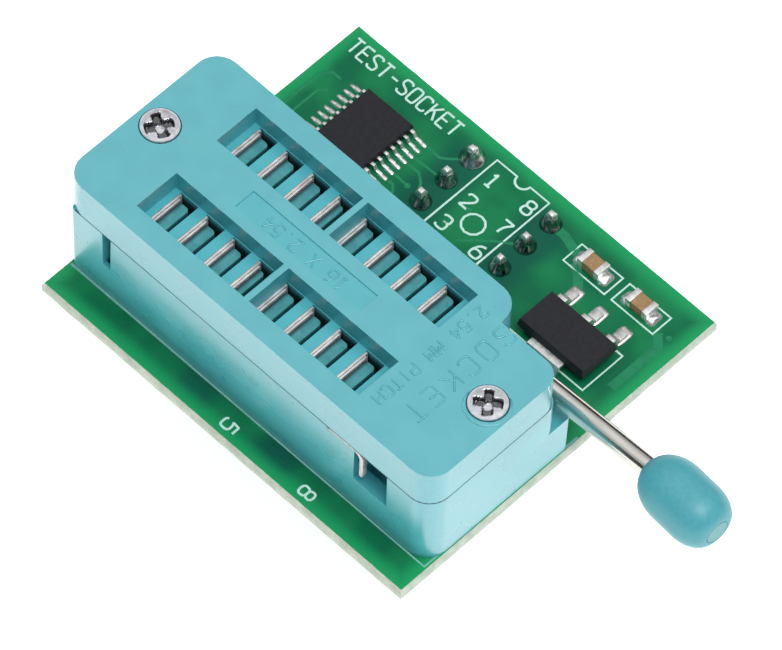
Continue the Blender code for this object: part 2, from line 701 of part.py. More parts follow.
def moulded_body(name, x, y, levels, finish, datum):
    """A chip package: widest at its parting line, drawn in towards top and bottom."""
    bm = bmesh.new()
    rings = []
    for inset, z in levels:
        near, far = y[0] + inset, y[1] - inset
        left, right = x[0] + inset, x[1] - inset
        rings.append([(left, near, z), (right, near, z), (right, far, z), (left, far, z)])
    add_rings(bm, rings)
    return link(name, bm, finish, datum)


def gull_wing(reach, lead, inside):
    """Side profile of a lead as (distance, height) points: out of the body, down, and along the pad."""
    _, thick, height, foot = lead
    knee = reach - foot
    top = GAP + thick
    return [
        (-inside, height), (knee - thick, height), (knee - thick / 7, top + thick * 0.6),
        (knee + thick * 0.6, top), (reach, top), (reach, GAP), (knee, GAP),
        (knee - thick, GAP + thick * 0.4), (knee - thick * 1.6, height - thick), (-inside, height - thick),
    ]


def add_lead(bm, profile, wide, place):
    """Adds a lead whose profile runs along local X, centred on the place."""
    part = bmesh.new()
    add_prism(part, profile, -wide / 2, wide / 2)
    part.transform(place @ Matrix.Rotation(math.pi / 2, 4, "X"))
    mesh = bpy.data.meshes.new("lead")
    part.to_mesh(mesh)
    part.free()
    bm.from_mesh(mesh)
    bpy.data.meshes.remove(mesh)


def level_shifter(plastic, metal, datum):
    """Twenty-lead chip; each side's ten leads are one comb, joined by a bar inside the body."""
    x, y = SHIFTER
    half, half_long = SHIFTER_BODY[0] / 2, SHIFTER_BODY[1] / 2
    body = moulded_body("level_shifter_body", both(x, half), both(y, half_long), SHIFTER_RINGS,
                        plastic, datum)
    wide, thick, height, _ = SHIFTER_LEAD
    profile = gull_wing(SHIFTER_REACH, SHIFTER_LEAD, LEAD_INSIDE)
    comb_half = (SHIFTER_LEADS - 1) * SHIFTER_PITCH / 2 + wide
    shallow, deep = COMB_INSIDE
    for name, side in (("level_shifter_leads_left", -1), ("level_shifter_leads_right", 1)):
        slot = sorted((x + side * (half - deep - OVERLAP), x + side * (half + OVERRUN)))
        combine(body, solid(f"{name}_slot", [
            (slot, both(y, comb_half + GAP), (height - thick - SLOT_ROOM, height + SLOT_ROOM))
        ]))
        bar = sorted((x + side * (half - deep), x + side * (half - shallow)))
        level = (height - thick + SLOT_ROOM / 2, height - SLOT_ROOM / 2)
        comb = solid(name, [(bar, both(y, comb_half), level)], metal, datum)
        leads = bmesh.new()
        turn = Matrix.Rotation(math.pi if side < 0 else 0, 4, "Z")
        for number in range(SHIFTER_LEADS):
            along = y + (number - (SHIFTER_LEADS - 1) / 2) * SHIFTER_PITCH
            add_lead(leads, profile, wide, Matrix.Translation((x + side * half, along, 0)) @ turn)
        combine(comb, link(f"{name}_wings", leads), "UNION")


def regulator(plastic, metal, datum):
    """Three-lead regulator: its cooling tab and middle lead are one strip through the body."""
    near, far = REGULATOR_BODY_Y
    y = (near + far) / 2
    lead_slot, tab_slot = y + STRIP_Y[0], y - STRIP_Y[1]
    body = moulded_body("regulator_body", REGULATOR_BODY_X, REGULATOR_BODY_Y, REGULATOR_RINGS,
                        plastic, datum)
    wide, thick, height, _ = REGULATOR_LEAD
    level = (height - thick - SLOT_ROOM, height + SLOT_ROOM)
    for index, name in enumerate(("regulator_lead_left", "regulator_tab", "regulator_lead_right")):
        across = REGULATOR_X + (index - 1) * REGULATOR_PITCH
        end = lead_slot if name == "regulator_tab" else far - LEAD_INSIDE - OVERLAP
        combine(body, solid(f"{name}_slot", [(both(across, wide / 2 + GAP), (end, far + OVERRUN), level)]))
        bm = bmesh.new()
        add_lead(bm, gull_wing(REGULATOR_REACH, REGULATOR_LEAD, LEAD_INSIDE), wide,
                 Matrix.Translation((across, far, 0)) @ Matrix.Rotation(math.pi / 2, 4, "Z"))
        lead = link(name, bm, metal, datum)
        if name != "regulator_tab":
            continue
        combine(body, solid("tab_slot", [
            (both(across, TAB_WIDE / 2 + GAP), (near - OVERRUN, tab_slot), level)
        ]))
        strip = (height - thick + SLOT_ROOM / 2, height - SLOT_ROOM / 2)
        combine(lead, solid("tab_strip", [
            (both(across, wide / 2 - SLOT_ROOM), (lead_slot + OVERLAP, far - OVERLAP), strip)
        ]), "UNION")
        wing = bmesh.new()
        add_lead(wing, gull_wing(REGULATOR_REACH, REGULATOR_LEAD, TAB_INSIDE), TAB_WIDE,
                 Matrix.Translation((across, near, 0)) @ Matrix.Rotation(-math.pi / 2, 4, "Z"))
        combine(lead, link("tab_wing", wing), "UNION")


def capacitors(ceramic, metal, datum):
    long, wide, tall = CAPACITOR_SIZE
    skin, hollow = CAPACITOR_SKIN, CAPACITOR_SKIN - CAPACITOR_ROOM
    for number, (x, y) in enumerate(CAPACITORS, 1):
        solid(f"capacitor_{number}_body", [
            (both(x, long / 2 - skin), both(y, wide / 2 - skin), (GAP + skin, GAP + tall - skin))
        ], ceramic, datum)
        for side, word in ((-1, "left"), (1, "right")):
            cap_x = sorted((x + side * long / 2, x + side * (long / 2 - CAPACITOR_END)))
            end = solid(f"capacitor_{number}_end_{word}", [(cap_x, both(y, wide / 2), (GAP, GAP + tall))],
                        metal, datum)
            combine(end, solid(f"capacitor_{number}_{word}_hollow", [
                (both(x, long / 2 - hollow), both(y, wide / 2 - hollow), (GAP + hollow, GAP + tall - hollow))
            ]))


def stand_on_origin(datum):
    """Moves the datum so that the origin is the bottom centre of everything that is shown."""
    bpy.context.view_layer.update()
    graph = bpy.context.evaluated_depsgraph_get()
    points = []
    for obj in bpy.data.objects:
        if obj.type == "MESH" and not obj.hide_render:
            shown = obj.evaluated_get(graph)
            points += [shown.matrix_world @ vertex.co for vertex in shown.data.vertices]
    low = [min(point[i] for point in points) for i in range(3)]
    high = [max(point[i] for point in points) for i in range(3)]
    datum.location = (-(low[0] + high[0]) / 2, -(low[1] + high[1]) / 2, -low[2])


def main():
    clear_scene()
    teal = material("socket_plastic", (0.14, 0.55, 0.60), 0.45)
    dark_teal = material("slider_plastic", (0.08, 0.38, 0.42), 0.5)
    knob = material("knob_plastic", (0.10, 0.42, 0.50), 0.45)
    board = material("solder_mask", (0.01, 0.24, 0.08), 0.3)
    steel = material("steel", (0.55, 0.54, 0.52), 0.3, 1.0)
    contact = material("contact_metal", (0.62, 0.58, 0.55), 0.3, 1.0)
    tin = material("tin", (0.70, 0.70, 0.70), 0.3, 1.0)
    black = material("black_plastic", (0.02, 0.02, 0.025), 0.5)
    ceramic = material("ceramic", (0.35, 0.24, 0.14), 0.5)

    datum = bpy.data.objects.new("datum", None)
    bpy.context.scene.collection.objects.link(datum)
    circuit_board(board, datum)
    socket_base(teal, datum)
    socket_cover(teal, datum)
    contact_slider(dark_teal, datum)
    contacts(contact, datum)
    cover_screws(steel, datum)
    lever(steel, knob, datum)
    shaft_clip(steel, datum)
    header(black, tin, datum)
    level_shifter(black, tin, datum)
    regulator(black, tin, datum)
    capacitors(ceramic, tin, datum)
    stand_on_origin(datum)


main()
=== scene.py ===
import json
import math

import bmesh
import bpy
from mathutils import Matrix, Vector, noise

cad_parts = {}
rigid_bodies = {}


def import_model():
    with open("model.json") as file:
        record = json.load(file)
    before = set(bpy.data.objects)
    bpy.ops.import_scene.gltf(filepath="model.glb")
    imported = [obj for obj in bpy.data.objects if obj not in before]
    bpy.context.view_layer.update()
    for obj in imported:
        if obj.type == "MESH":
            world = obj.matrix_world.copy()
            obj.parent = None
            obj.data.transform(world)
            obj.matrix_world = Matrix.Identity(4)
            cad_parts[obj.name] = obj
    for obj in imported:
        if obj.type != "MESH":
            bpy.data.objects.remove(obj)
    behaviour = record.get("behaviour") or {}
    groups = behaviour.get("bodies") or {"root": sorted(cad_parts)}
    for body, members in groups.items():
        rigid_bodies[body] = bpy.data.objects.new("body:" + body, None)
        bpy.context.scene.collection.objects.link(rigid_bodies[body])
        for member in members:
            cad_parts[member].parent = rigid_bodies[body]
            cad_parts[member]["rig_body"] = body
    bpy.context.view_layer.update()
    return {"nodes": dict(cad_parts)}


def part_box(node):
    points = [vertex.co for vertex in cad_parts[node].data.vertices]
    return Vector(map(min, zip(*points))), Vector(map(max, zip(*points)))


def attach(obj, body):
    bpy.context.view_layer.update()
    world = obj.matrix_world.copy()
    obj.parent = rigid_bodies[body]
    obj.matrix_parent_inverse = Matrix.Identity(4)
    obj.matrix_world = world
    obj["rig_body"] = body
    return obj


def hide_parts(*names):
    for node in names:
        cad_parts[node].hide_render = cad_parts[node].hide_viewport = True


# Lengths are in millimetres from the middle of the contact field on the board's upper face; TO_WORLD
# takes them to the frame.
MM = 0.001
PITCH = 2.54
ROW_Y = (-1.5 * PITCH, 1.5 * PITCH)
CONTACTS_PER_ROW = 8
HEADER_X = (-1.765, 5.855)
HEADER_TOP_Y = 18.68
BOARD_X = (-15.10, 19.35)
BOARD_Y = (-9.75, 21.00)
BOARD_LOW = -1.2
MASK_TOP = 0.015
COVER_TOP = 10.62
COVER_RIGHT = 19.32
COVER_HALF = 7.38
CORNER_R = 1.8
NOTCH = (13.5, 5.25)  # the corner of the cover that is cut away for the lever
NOTCH_R = 1.5
SEAM_Z = 7.15
TROUGH_FIELD = (("X", 11.5), ("Y", 6.4))  # half sizes of the rectangle that holds the troughs
SLOT_SHADE = (8.82, 8.1)  # heights between which the slots' walls grow dark
BLADE_PLATES = ((-0.83, -0.635, 1.74, 8.90), (-0.62, -0.43, 1.46, 8.88))  # left, right, far end and top
BLADE_START = -1.80
BLADE_FOOT = 6.3
FOOT_Z = 1.25
BESIDE_BLADE = 0.40  # width of the shade on the slider beside a blade
TAIL = ((0.09, -3.4), (0.15, -3.25), (0.15, 1.3))  # half width and height
SCREWS = ((-13.79, 1.10), (17.40, 0.68))  # x and the turn of the recess
HEAD_R = 1.45
HEAD_THICK = 0.8
HEAD_TOP = COVER_TOP + 0.12
HEAD_SIDES = 64
SHANK_R = 0.72
SHANK_END = 3.0
RECESS_LONG = 1.05
RECESS_HALF = 0.36
RECESS_DEEP = 0.62
RECESS_MIDDLE_R = 0.55
PIVOT = (14.45, 0.0, 5.45)
LEVER_PITCH = 2.9
LEVER_Y = 6.30
BEND_R = 1.6
ROD_R = 0.775
SHAFT_END_Y = -4.3
CAM_R = 1.4
CAM_HALF = 2.5
CAM_THROW = 0.35
KNOB_START = 12.35
KNOB_YAW = -3.9
KNOB_PITCH = -2.9
KNOB_Z = (-0.2, 6.6)
KNOB_R = 2.31
KNOB_START_R = 0.41
KNOB_END_R = 0.95
KNOB_ROUNDING = (2.7, 2.2)
ROD_IN_KNOB = 4.2
SHIFTER = (-8.34, 14.15)
SHIFTER_LEADS = 10
SHIFTER_PITCH = 0.65
SHIFTER_PAD = (2.72, 3.72)  # out from the chip's middle
REGULATOR_X = 13.3
REGULATOR_PITCH = 2.3
REGULATOR_PAD_Y = (14.75, 16.35)
REGULATOR_TAB_Y = (8.2, 9.9)
CAPACITORS = ((10.47, 18.11), (15.04, 18.13))
CAPACITOR_PAD = (0.72, 1.62)
VIAS = ((18.03, 17.73), (-3.29, 13.84), (1.10, 15.45), (-12.6, 9.6))
CAMERA_HEADING = 131.805  # degrees, as are the next two
CAMERA_DIP = 57.194
CAMERA_ROLL = 3.324
CAMERA_AIM = (3.95, 4.88, 0.0)
CAMERA_DISTANCE = 616.84
INK_WIDE = 0.18
INK_TALL = 0.012


# ---------------------------------------------------------------- frame

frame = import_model()
NODES = frame["nodes"]
pin_low, pin_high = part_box("header_pin_1")
ORIGIN = Vector((
    (pin_low.x + pin_high.x) / 2 - HEADER_X[0] * MM,
    (pin_low.y + pin_high.y) / 2 - HEADER_TOP_Y * MM,
    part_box("circuit_board")[1].z,
))
TO_WORLD = Matrix.Translation(ORIGIN) @ Matrix.Scale(MM, 4)


# ---------------------------------------------------------------- materials

def node(tree, kind, **settings):
    made = tree.nodes.new(kind)
    for key, value in settings.items():
        setattr(made, key, value)
    return made


def noise_output(tree, scale, detail=4.0, roughness=0.5, stretch=None):
    """A noise value over the object's own coordinates; scale is in features per millimetre."""
    coordinates = node(tree, "ShaderNodeTexCoord").outputs["Object"]
    if stretch:
        mapping = node(tree, "ShaderNodeMapping")
        mapping.inputs["Scale"].default_value = stretch
        tree.links.new(coordinates, mapping.inputs["Vector"])
        coordinates = mapping.outputs["Vector"]
    texture = node(tree, "ShaderNodeTexNoise")
    texture.inputs["Scale"].default_value = scale / MM
    texture.inputs["Detail"].default_value = detail
    texture.inputs["Roughness"].default_value = roughness
    tree.links.new(coordinates, texture.inputs["Vector"])
    return texture.outputs["Fac"]


def ramp(tree, source, stops):
    made = node(tree, "ShaderNodeValToRGB")
    elements = made.color_ramp.elements
    while len(elements) < len(stops):
        elements.new(0.5)
    for element, (place, color) in zip(elements, stops):
        element.position = place
        element.color = (*color, 1.0)
    tree.links.new(source, made.inputs["Fac"])
    return made.outputs["Color"]


def mottled(tree, scale, dark, light, detail=4.0):
    """A colour that drifts between two over a noise."""
    return ramp(tree, noise_output(tree, scale, detail), ((0.35, dark), (0.65, light)))


def spread(tree, source, low, high):
    """A value that drifts between two with a noise."""
    made = node(tree, "ShaderNodeMapRange")
    made.inputs["From Min"].default_value = 0.3
    made.inputs["From Max"].default_value = 0.7
    made.inputs["To Min"].default_value = low
    made.inputs["To Max"].default_value = high
    tree.links.new(source, made.inputs["Value"])
    return made.outputs["Result"]


def bump(tree, source, shader, strength, distance):
    made = node(tree, "ShaderNodeBump")
    made.inputs["Strength"].default_value = strength
    made.inputs["Distance"].default_value = distance * MM
    tree.links.new(source, made.inputs["Height"])
    tree.links.new(made.outputs["Normal"], shader.inputs["Normal"])


def blank(name, metallic=0.0, specular=0.5, coat=0.0, coat_roughness=0.1):
    made = bpy.data.materials.new(name)
    made.use_nodes = True
    shader = made.node_tree.nodes["Principled BSDF"]
    shader.inputs["Metallic"].default_value = metallic
    shader.inputs["Specular IOR Level"].default_value = specular
    shader.inputs["Coat Weight"].default_value = coat
    shader.inputs["Coat Roughness"].default_value = coat_roughness
    return made, made.node_tree, shader


def speckled(name, dark, light, rough, scale, bump_scale, bump_depth, stretch=None, **settings):
    """A material whose colour and roughness drift with one noise and whose surface follows a finer one."""
    made, tree, shader = blank(name, **settings)
    drift = noise_output(tree, scale, stretch=stretch)
    tree.links.new(ramp(tree, drift, ((0.35, dark), (0.65, light))), shader.inputs["Base Color"])
    tree.links.new(spread(tree, drift, *rough), shader.inputs["Roughness"])
    fine = noise_output(tree, bump_scale, 3.0, 0.6, stretch)
    bump(tree, fine, shader, 0.5, bump_depth)
    return made


def place_in(tree):
    """The object's own X, Y and Z, as three outputs."""
    position = node(tree, "ShaderNodeSeparateXYZ")
    tree.links.new(node(tree, "ShaderNodeTexCoord").outputs["Object"], position.inputs["Vector"])
    return position.outputs


def fade(tree, source, start, end):
    """0 at the start value and 1 at the end value, smooth between them."""
    made = node(tree, "ShaderNodeMapRange", interpolation_type="SMOOTHSTEP")
    low, high = sorted((start, end))
    made.inputs["From Min"].default_value = low
    made.inputs["From Max"].default_value = high
    made.inputs["To Min"].default_value = 0.0 if start < end else 1.0
    made.inputs["To Max"].default_value = 1.0 if start < end else 0.0
    tree.links.new(source, made.inputs["Value"])
    return made.outputs["Result"]


def calculate(tree, operation, first, second=None):
    """A math node on two values, each an output or a constant."""
    made = node(tree, "ShaderNodeMath", operation=operation)
    for socket_in, value in zip(made.inputs, (first, second)):
        if isinstance(value, float):
            socket_in.default_value = value
        elif value is not None:
            tree.links.new(value, socket_in)
    return made.outputs[0]


def blend(tree, share, first, second):
    """A colour that goes from the first to the second; each is an output or three numbers."""
    made = node(tree, "ShaderNodeMix", data_type="RGBA")
    tree.links.new(share, made.inputs["Factor"])
    for name, value in (("A", first), ("B", second)):
        if isinstance(value, tuple):
            made.inputs[name].default_value = (*value, 1.0)
        else:
            tree.links.new(value, made.inputs[name])
    return made.outputs["Result"]


def distance_from(tree, source, middle):
    return calculate(tree, "ABSOLUTE", calculate(tree, "SUBTRACT", source, middle))


def along_axis(axis, place):
    """A place on the script's axis, in the frame's metres."""
    return ORIGIN["XYZ".index(axis)] + place * MM


def fade_along(tree, position, axis, start, end):
    return fade(tree, position[axis], along_axis(axis, start), along_axis(axis, end))


def teal_plastic():
    """Glossy moulded plastic, duller down in the troughs and slots, with painted shade that turns it near
    black low in the slots.
    """
    coat = 0.55
    made, tree, shader = blank("teal_look", specular=1.0, coat=coat, coat_roughness=0.22)
    position = place_in(tree)
    below = fade_along(tree, position, "Z", COVER_TOP - 0.02, COVER_TOP - 0.25)
    for axis, half in TROUGH_FIELD:
        apart = distance_from(tree, position[axis], along_axis(axis, 0.0))
        below = calculate(tree, "MULTIPLY", below, fade(tree, apart, (half + 0.5) * MM, half * MM))
    # Painted shade: the colour goes near black as the slots' walls drop from the first SLOT_SHADE height to
    # the second.
    slot_painted_shade = calculate(tree, "MULTIPLY", fade_along(tree, position, "Z", *SLOT_SHADE), below)
    open_face = mottled(tree, 0.5, (0.075, 0.430, 0.495), (0.086, 0.460, 0.525), 1.0)
    sunk = blend(tree, below, open_face, (0.085, 0.450, 0.515))
    tree.links.new(blend(tree, slot_painted_shade, sunk, (0.008, 0.075, 0.088)), shader.inputs["Base Color"])
    gloss = calculate(tree, "SUBTRACT", 1.0, calculate(tree, "MULTIPLY", below, 0.65))
    tree.links.new(gloss, shader.inputs["Specular IOR Level"])
    above = calculate(tree, "SUBTRACT", 1.0, below)
    tree.links.new(calculate(tree, "MULTIPLY", above, coat), shader.inputs["Coat Weight"])
    tree.links.new(spread(tree, noise_output(tree, 0.5, 1.0), 0.26, 0.32), shader.inputs["Roughness"])
    bump(tree, noise_output(tree, 16.0, 2.0), shader, 0.25, 0.0016)
    return made


def screw_metal():
    """Bright plating, with painted shade, dark grey, on the slopes of the recess."""
    made, tree, shader = blank("screw_look", metallic=1.0)
    sunk = calculate(tree, "SUBTRACT", along_axis("Z", HEAD_TOP), place_in(tree)["Z"])
    depth = calculate(tree, "DIVIDE", sunk, HEAD_THICK * MM)
    plating = mottled(tree, 2.5, (0.60, 0.61, 0.66), (0.80, 0.81, 0.86))
    unshaded = (1.0, 1.0, 1.0)
    # Painted shade: the recess's slopes are turned dark grey; its rim and its deepest middle keep the
    # plating's colour.
    slopes = ((0.14, unshaded), (0.24, (0.30, 0.30, 0.29)), (0.62, (0.19, 0.19, 0.18)), (0.72, unshaded))
    wear_and_shade = ramp(tree, depth, slopes)
    mix = node(tree, "ShaderNodeMix", data_type="RGBA", blend_type="MULTIPLY")
    mix.inputs["Factor"].default_value = 1.0
    tree.links.new(plating, mix.inputs["A"])
    tree.links.new(wear_and_shade, mix.inputs["B"])
    tree.links.new(mix.outputs["Result"], shader.inputs["Base Color"])
    tree.links.new(spread(tree, noise_output(tree, 2.5), 0.20, 0.34), shader.inputs["Roughness"])
    bump(tree, noise_output(tree, 4.0), shader, 0.4, 0.012)
    return made


def solder_mask():
    """Green lacquer: brighter along the board's edges, where a highlight is painted in, and darker between
    the header's pins, where copper is cut away."""
    made, tree, shader = blank("solder_mask_look", specular=0.12)
    position = place_in(tree)
    nearest = None
    for axis, (low, high) in (("X", BOARD_X), ("Y", BOARD_Y)):
        apart = distance_from(tree, position[axis], along_axis(axis, (low + high) / 2))
        inset = calculate(tree, "SUBTRACT", (high - low) / 2 * MM, apart)
        nearest = inset if nearest is None else calculate(tree, "MINIMUM", nearest, inset)
    # Painted highlight: the lacquer turns a brighter green within 1.5 mm of the board's edges.
    edge_highlight = fade(tree, nearest, 0.1 * MM, 1.5 * MM)
    greens = ((0.42, (0.004, 0.140, 0.062)), (0.6, (0.009, 0.205, 0.076)))
    copper = ramp(tree, noise_output(tree, 0.22, 2.0), greens)
    clear = None
    for x in HEADER_X:
        apart = distance_from(tree, position["X"], along_axis("X", x))
        near_pins = fade(tree, apart, 2.6 * MM, 0.9 * MM)
        clear = near_pins if clear is None else calculate(tree, "MAXIMUM", clear, near_pins)
    clear = calculate(tree, "MULTIPLY", clear, fade_along(tree, position, "Y", 20.6, 18.4))
    inner = blend(tree, calculate(tree, "MULTIPLY", clear, 0.75), copper, (0.004, 0.085, 0.062))
    tree.links.new(blend(tree, edge_highlight, (0.014, 0.330, 0.115), inner), shader.inputs["Base Color"])
    tree.links.new(spread(tree, noise_output(tree, 1.5), 0.24, 0.36), shader.inputs["Roughness"])
    bump(tree, noise_output(tree, 2.5), shader, 0.3, 0.004)
    return made


def slider_plastic():
    """A darker teal than the cover's, with painted shade that turns it near black low in the slots and beside
    the contacts.
    """
    made, tree, shader = blank("slider_look", specular=0.35)
    position = place_in(tree)
    raised = fade_along(tree, position, "Z", 7.9, 8.72)
    along = calculate(tree, "SUBTRACT", position["X"], along_axis("X", 0.5 * PITCH - BESIDE_BLADE))
    from_blade = calculate(tree, "WRAP", along, 0.0)
    from_blade.node.inputs[1].default_value = PITCH * MM
    from_blade.node.inputs[2].default_value = 0.0
    # Painted shade: near black below the fingers' tops and in a strip just beside each blade.
    lit = calculate(tree, "MULTIPLY", raised, fade(tree, from_blade, 0.0, BESIDE_BLADE * MM))
    unshaded = mottled(tree, 1.6, (0.045, 0.245, 0.270), (0.072, 0.320, 0.345))
    tree.links.new(blend(tree, lit, (0.002, 0.030, 0.033), unshaded), shader.inputs["Base Color"])
    tree.links.new(spread(tree, noise_output(tree, 3.0), 0.38, 0.55), shader.inputs["Roughness"])
    bump(tree, noise_output(tree, 9.0), shader, 0.4, 0.008)
    return made


# Name: dark and light colour, roughness from and to, then the noises' scales and the bump's depth
SPECKLED = {
    # The next entry colours the painted shadow line in the joint between cover and base.
    "seam_shadow": ((0.006, 0.060, 0.068), (0.012, 0.090, 0.100), (0.5, 0.7), 2.0, 6.0, 0.002),
    "knob": ((0.070, 0.360, 0.425), (0.082, 0.390, 0.450), (0.36, 0.44), 3.0, 16.0, 0.004),
    "knob_end": ((0.120, 0.380, 0.410), (0.160, 0.420, 0.450), (0.4, 0.5), 2.0, 12.0, 0.004),
    "laminate": ((0.46, 0.54, 0.44), (0.62, 0.68, 0.58), (0.6, 0.8), 1.2, 5.0, 0.03),
    "trace": ((0.010, 0.205, 0.092), (0.014, 0.240, 0.105), (0.24, 0.34), 1.5, 2.5, 0.004),
    "faint_ink": ((0.160, 0.440, 0.400), (0.210, 0.500, 0.460), (0.45, 0.6), 3.0, 8.0, 0.006),
    "ink": ((0.50, 0.76, 0.68), (0.60, 0.84, 0.76), (0.45, 0.6), 3.0, 8.0, 0.006),
    "steel": ((0.60, 0.58, 0.54), (0.72, 0.70, 0.66), (0.13, 0.22), 2.0, 6.0, 0.003),
    "contact": ((0.56, 0.51, 0.50), (0.78, 0.75, 0.74), (0.36, 0.50), 4.0, 9.0, 0.008),
    "tin": ((0.70, 0.70, 0.69), (0.93, 0.93, 0.92), (0.28, 0.42), 2.6, 7.0, 0.014),
    "fresh_solder": ((0.34, 0.35, 0.35), (0.74, 0.75, 0.74), (0.14, 0.26), 1.8, 3.0, 0.03),
    "solder": ((0.14, 0.15, 0.15), (0.50, 0.51, 0.51), (0.10, 0.24), 1.8, 3.0, 0.04),
    "black": ((0.009, 0.009, 0.013), (0.016, 0.016, 0.021), (0.5, 0.66), 3.0, 14.0, 0.012),
    "header": ((0.012, 0.012, 0.013), (0.022, 0.022, 0.023), (0.4, 0.55), 1.0, 8.0, 0.01),
    "ceramic": ((0.300, 0.175, 0.075), (0.390, 0.240, 0.110), (0.42, 0.55), 3.0, 9.0, 0.01),
}
SPECKLED_SETTINGS = {
    "trace": {"specular": 0.22},
    "steel": {"stretch": (0.25, 1.0, 1.0), "metallic": 1.0},
    "contact": {"stretch": (1.0, 0.35, 1.0), "metallic": 0.6},
    "tin": {"metallic": 0.9},
    "fresh_solder": {"metallic": 1.0},
    "solder": {"metallic": 1.0},
    "black": {"specular": 0.35},
}


def make_looks():
    looks = {
        "teal": teal_plastic(),
        "slider": slider_plastic(),
        "mask": solder_mask(),
        "screw": screw_metal(),
    }
    for name, values in SPECKLED.items():
        looks[name] = speckled(name + "_look", *values, **SPECKLED_SETTINGS.get(name, {}))
    return looks


# ---------------------------------------------------------------- mesh helpers

def register(obj, finish, body, replaces=()):
    bpy.context.scene.collection.objects.link(obj)
    obj.data.materials.clear()
    obj.data.materials.append(LOOKS[finish])
    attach(obj, body)
    if replaces:
        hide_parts(*replaces)
    return obj


def piece(name, bm, finish, body="root", degrees=35, replaces=()):
    """Makes the bmesh, drawn in millimetres, into a visible piece."""
    bmesh.ops.recalc_face_normals(bm, faces=bm.faces)
    bm.transform(TO_WORLD)
    mesh = bpy.data.meshes.new(name)
    bm.to_mesh(mesh)
    bm.free()
    mesh.shade_smooth()
    mesh.set_sharp_from_angle(angle=math.radians(degrees))
    return register(bpy.data.objects.new(name, mesh), finish, body, replaces)


def softened(name, source, finish, width, segments=2):
    """A copy of a CAD node with its edges rounded, shown in the node's place."""
    bm = bmesh.new()
    bm.from_mesh(NODES[source].data)
    bmesh.ops.remove_doubles(bm, verts=bm.verts, dist=0.0005 * MM)
    bmesh.ops.dissolve_limit(bm, angle_limit=math.radians(0.3), verts=bm.verts, edges=bm.edges)
    mesh = bpy.data.meshes.new(name)
    bm.to_mesh(mesh)
    bm.free()
    for layer in ("custom_normal", "sharp_edge", "sharp_face"):
        if layer in mesh.attributes:
            mesh.attributes.remove(mesh.attributes[layer])
    mesh.shade_smooth()
    obj = bpy.data.objects.new(name, mesh)
    register(obj, finish, NODES[source]["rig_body"], (source,))
    modifier = obj.modifiers.new("edges", "BEVEL")
    modifier.width = width * MM
    modifier.segments = segments
    modifier.limit_method = "ANGLE"
    modifier.angle_limit = math.radians(30)
    modifier.use_clamp_overlap = True
    weighted = obj.modifiers.new("flat_faces", "WEIGHTED_NORMAL")
    weighted.mode = "FACE_AREA"
    weighted.weight = 80
    return obj


def add_loft(bm, rings):
    """Joins matching rings of points and caps the two ends."""
    layers = [[bm.verts.new(point) for point in ring] for ring in rings]
    for lower, upper in zip(layers, layers[1:]):
        count = len(lower)
        for i in range(count):
            j = (i + 1) % count
            bm.faces.new((lower[i], lower[j], upper[j], upper[i]))
    for layer in (layers[0], layers[-1]):
        bm.faces.new(layer)


def ring(radius, sides, z=0.0):
    turns = [2 * math.pi * i / sides for i in range(sides)]
    return [Vector((radius * math.cos(turn), radius * math.sin(turn), z)) for turn in turns]


def add_turned(bm, profile, sides, place):
    """Adds a solid of revolution whose profile is (radius, height) pairs."""
    add_loft(bm, [[place @ point for point in ring(max(r, 0.002), sides, z)] for r, z in profile])


def lumpy(point, amount, scale, seed):
    """The point pushed about by smooth noise."""
    shift = noise.noise_vector(point * scale + Vector((seed * 7.3, seed * 3.1, seed)))
    return point + shift * amount


def add_bar(bm, path, radius, sides):
    """Adds a round bar along a path."""
    rings = []
    across = Vector((0, 0, 1))
    for i, point in enumerate(path):
        ahead = (path[min(i + 1, len(path) - 1)] - path[max(i - 1, 0)]).normalized()
        across = (across - ahead * across.dot(ahead)).normalized()
        side = ahead.cross(across)
        rings.append([
            point + (across * math.cos(turn) + side * math.sin(turn)) * radius
            for turn in (2 * math.pi * k / sides for k in range(sides))
        ])
    add_loft(bm, rings)


def add_slab(bm, x, y, z):
    corners = [(x[0], y[0]), (x[1], y[0]), (x[1], y[1]), (x[0], y[1])]
    add_loft(bm, [[Vector((cx, cy, level)) for cx, cy in corners] for level in z])


def add_mound(bm, x, y, base, height, seed, steps=12, plump=2.6, rough=0.03):
    """Adds a lump of solder over a rectangle: steep at its rim, rounded above."""
    centre = Vector(((x[0] + x[1]) / 2, (y[0] + y[1]) / 2, base))
    hx, hy = (x[1] - x[0]) / 2, (y[1] - y[0]) / 2
    rings = []
    for level in range(5):
        rise = math.pi / 2 * level / 4.4
        points = []
        for i in range(steps * 2):
            turn = math.pi * i / steps
            cos, sin = math.cos(turn), math.sin(turn)
            round_x = math.copysign(abs(cos) ** (2 / plump), cos)
            round_y = math.copysign(abs(sin) ** (2 / plump), sin)
            shrink = math.cos(rise)
            point = centre + Vector((hx * round_x * shrink, hy * round_y * shrink, height * math.sin(rise)))
            points.append(lumpy(point, rough if level else rough * 0.5, 2.3, seed))
        rings.append(points)
    add_loft(bm, rings)


def arc(centre, radius, start, end, steps=8):
    """Flat points from the start to the end, both in degrees."""
    turns = [math.radians(start + (end - start) * k / steps) for k in range(steps + 1)]
    return [(centre[0] + radius * math.cos(turn), centre[1] + radius * math.sin(turn)) for turn in turns]


def smooth_path(points):
    """Rounds a path's corners; a point given twice stays sharp."""
    for _ in range(2):
        cut = [points[0]]
        for a, b in zip(points, points[1:]):
            if a == b:
                cut.append(a)
                continue
            cut += [(a[0] * 0.75 + b[0] * 0.25, a[1] * 0.75 + b[1] * 0.25),
                    (a[0] * 0.25 + b[0] * 0.75, a[1] * 0.25 + b[1] * 0.75)]
        cut.append(points[-1])
        points = cut
    return points


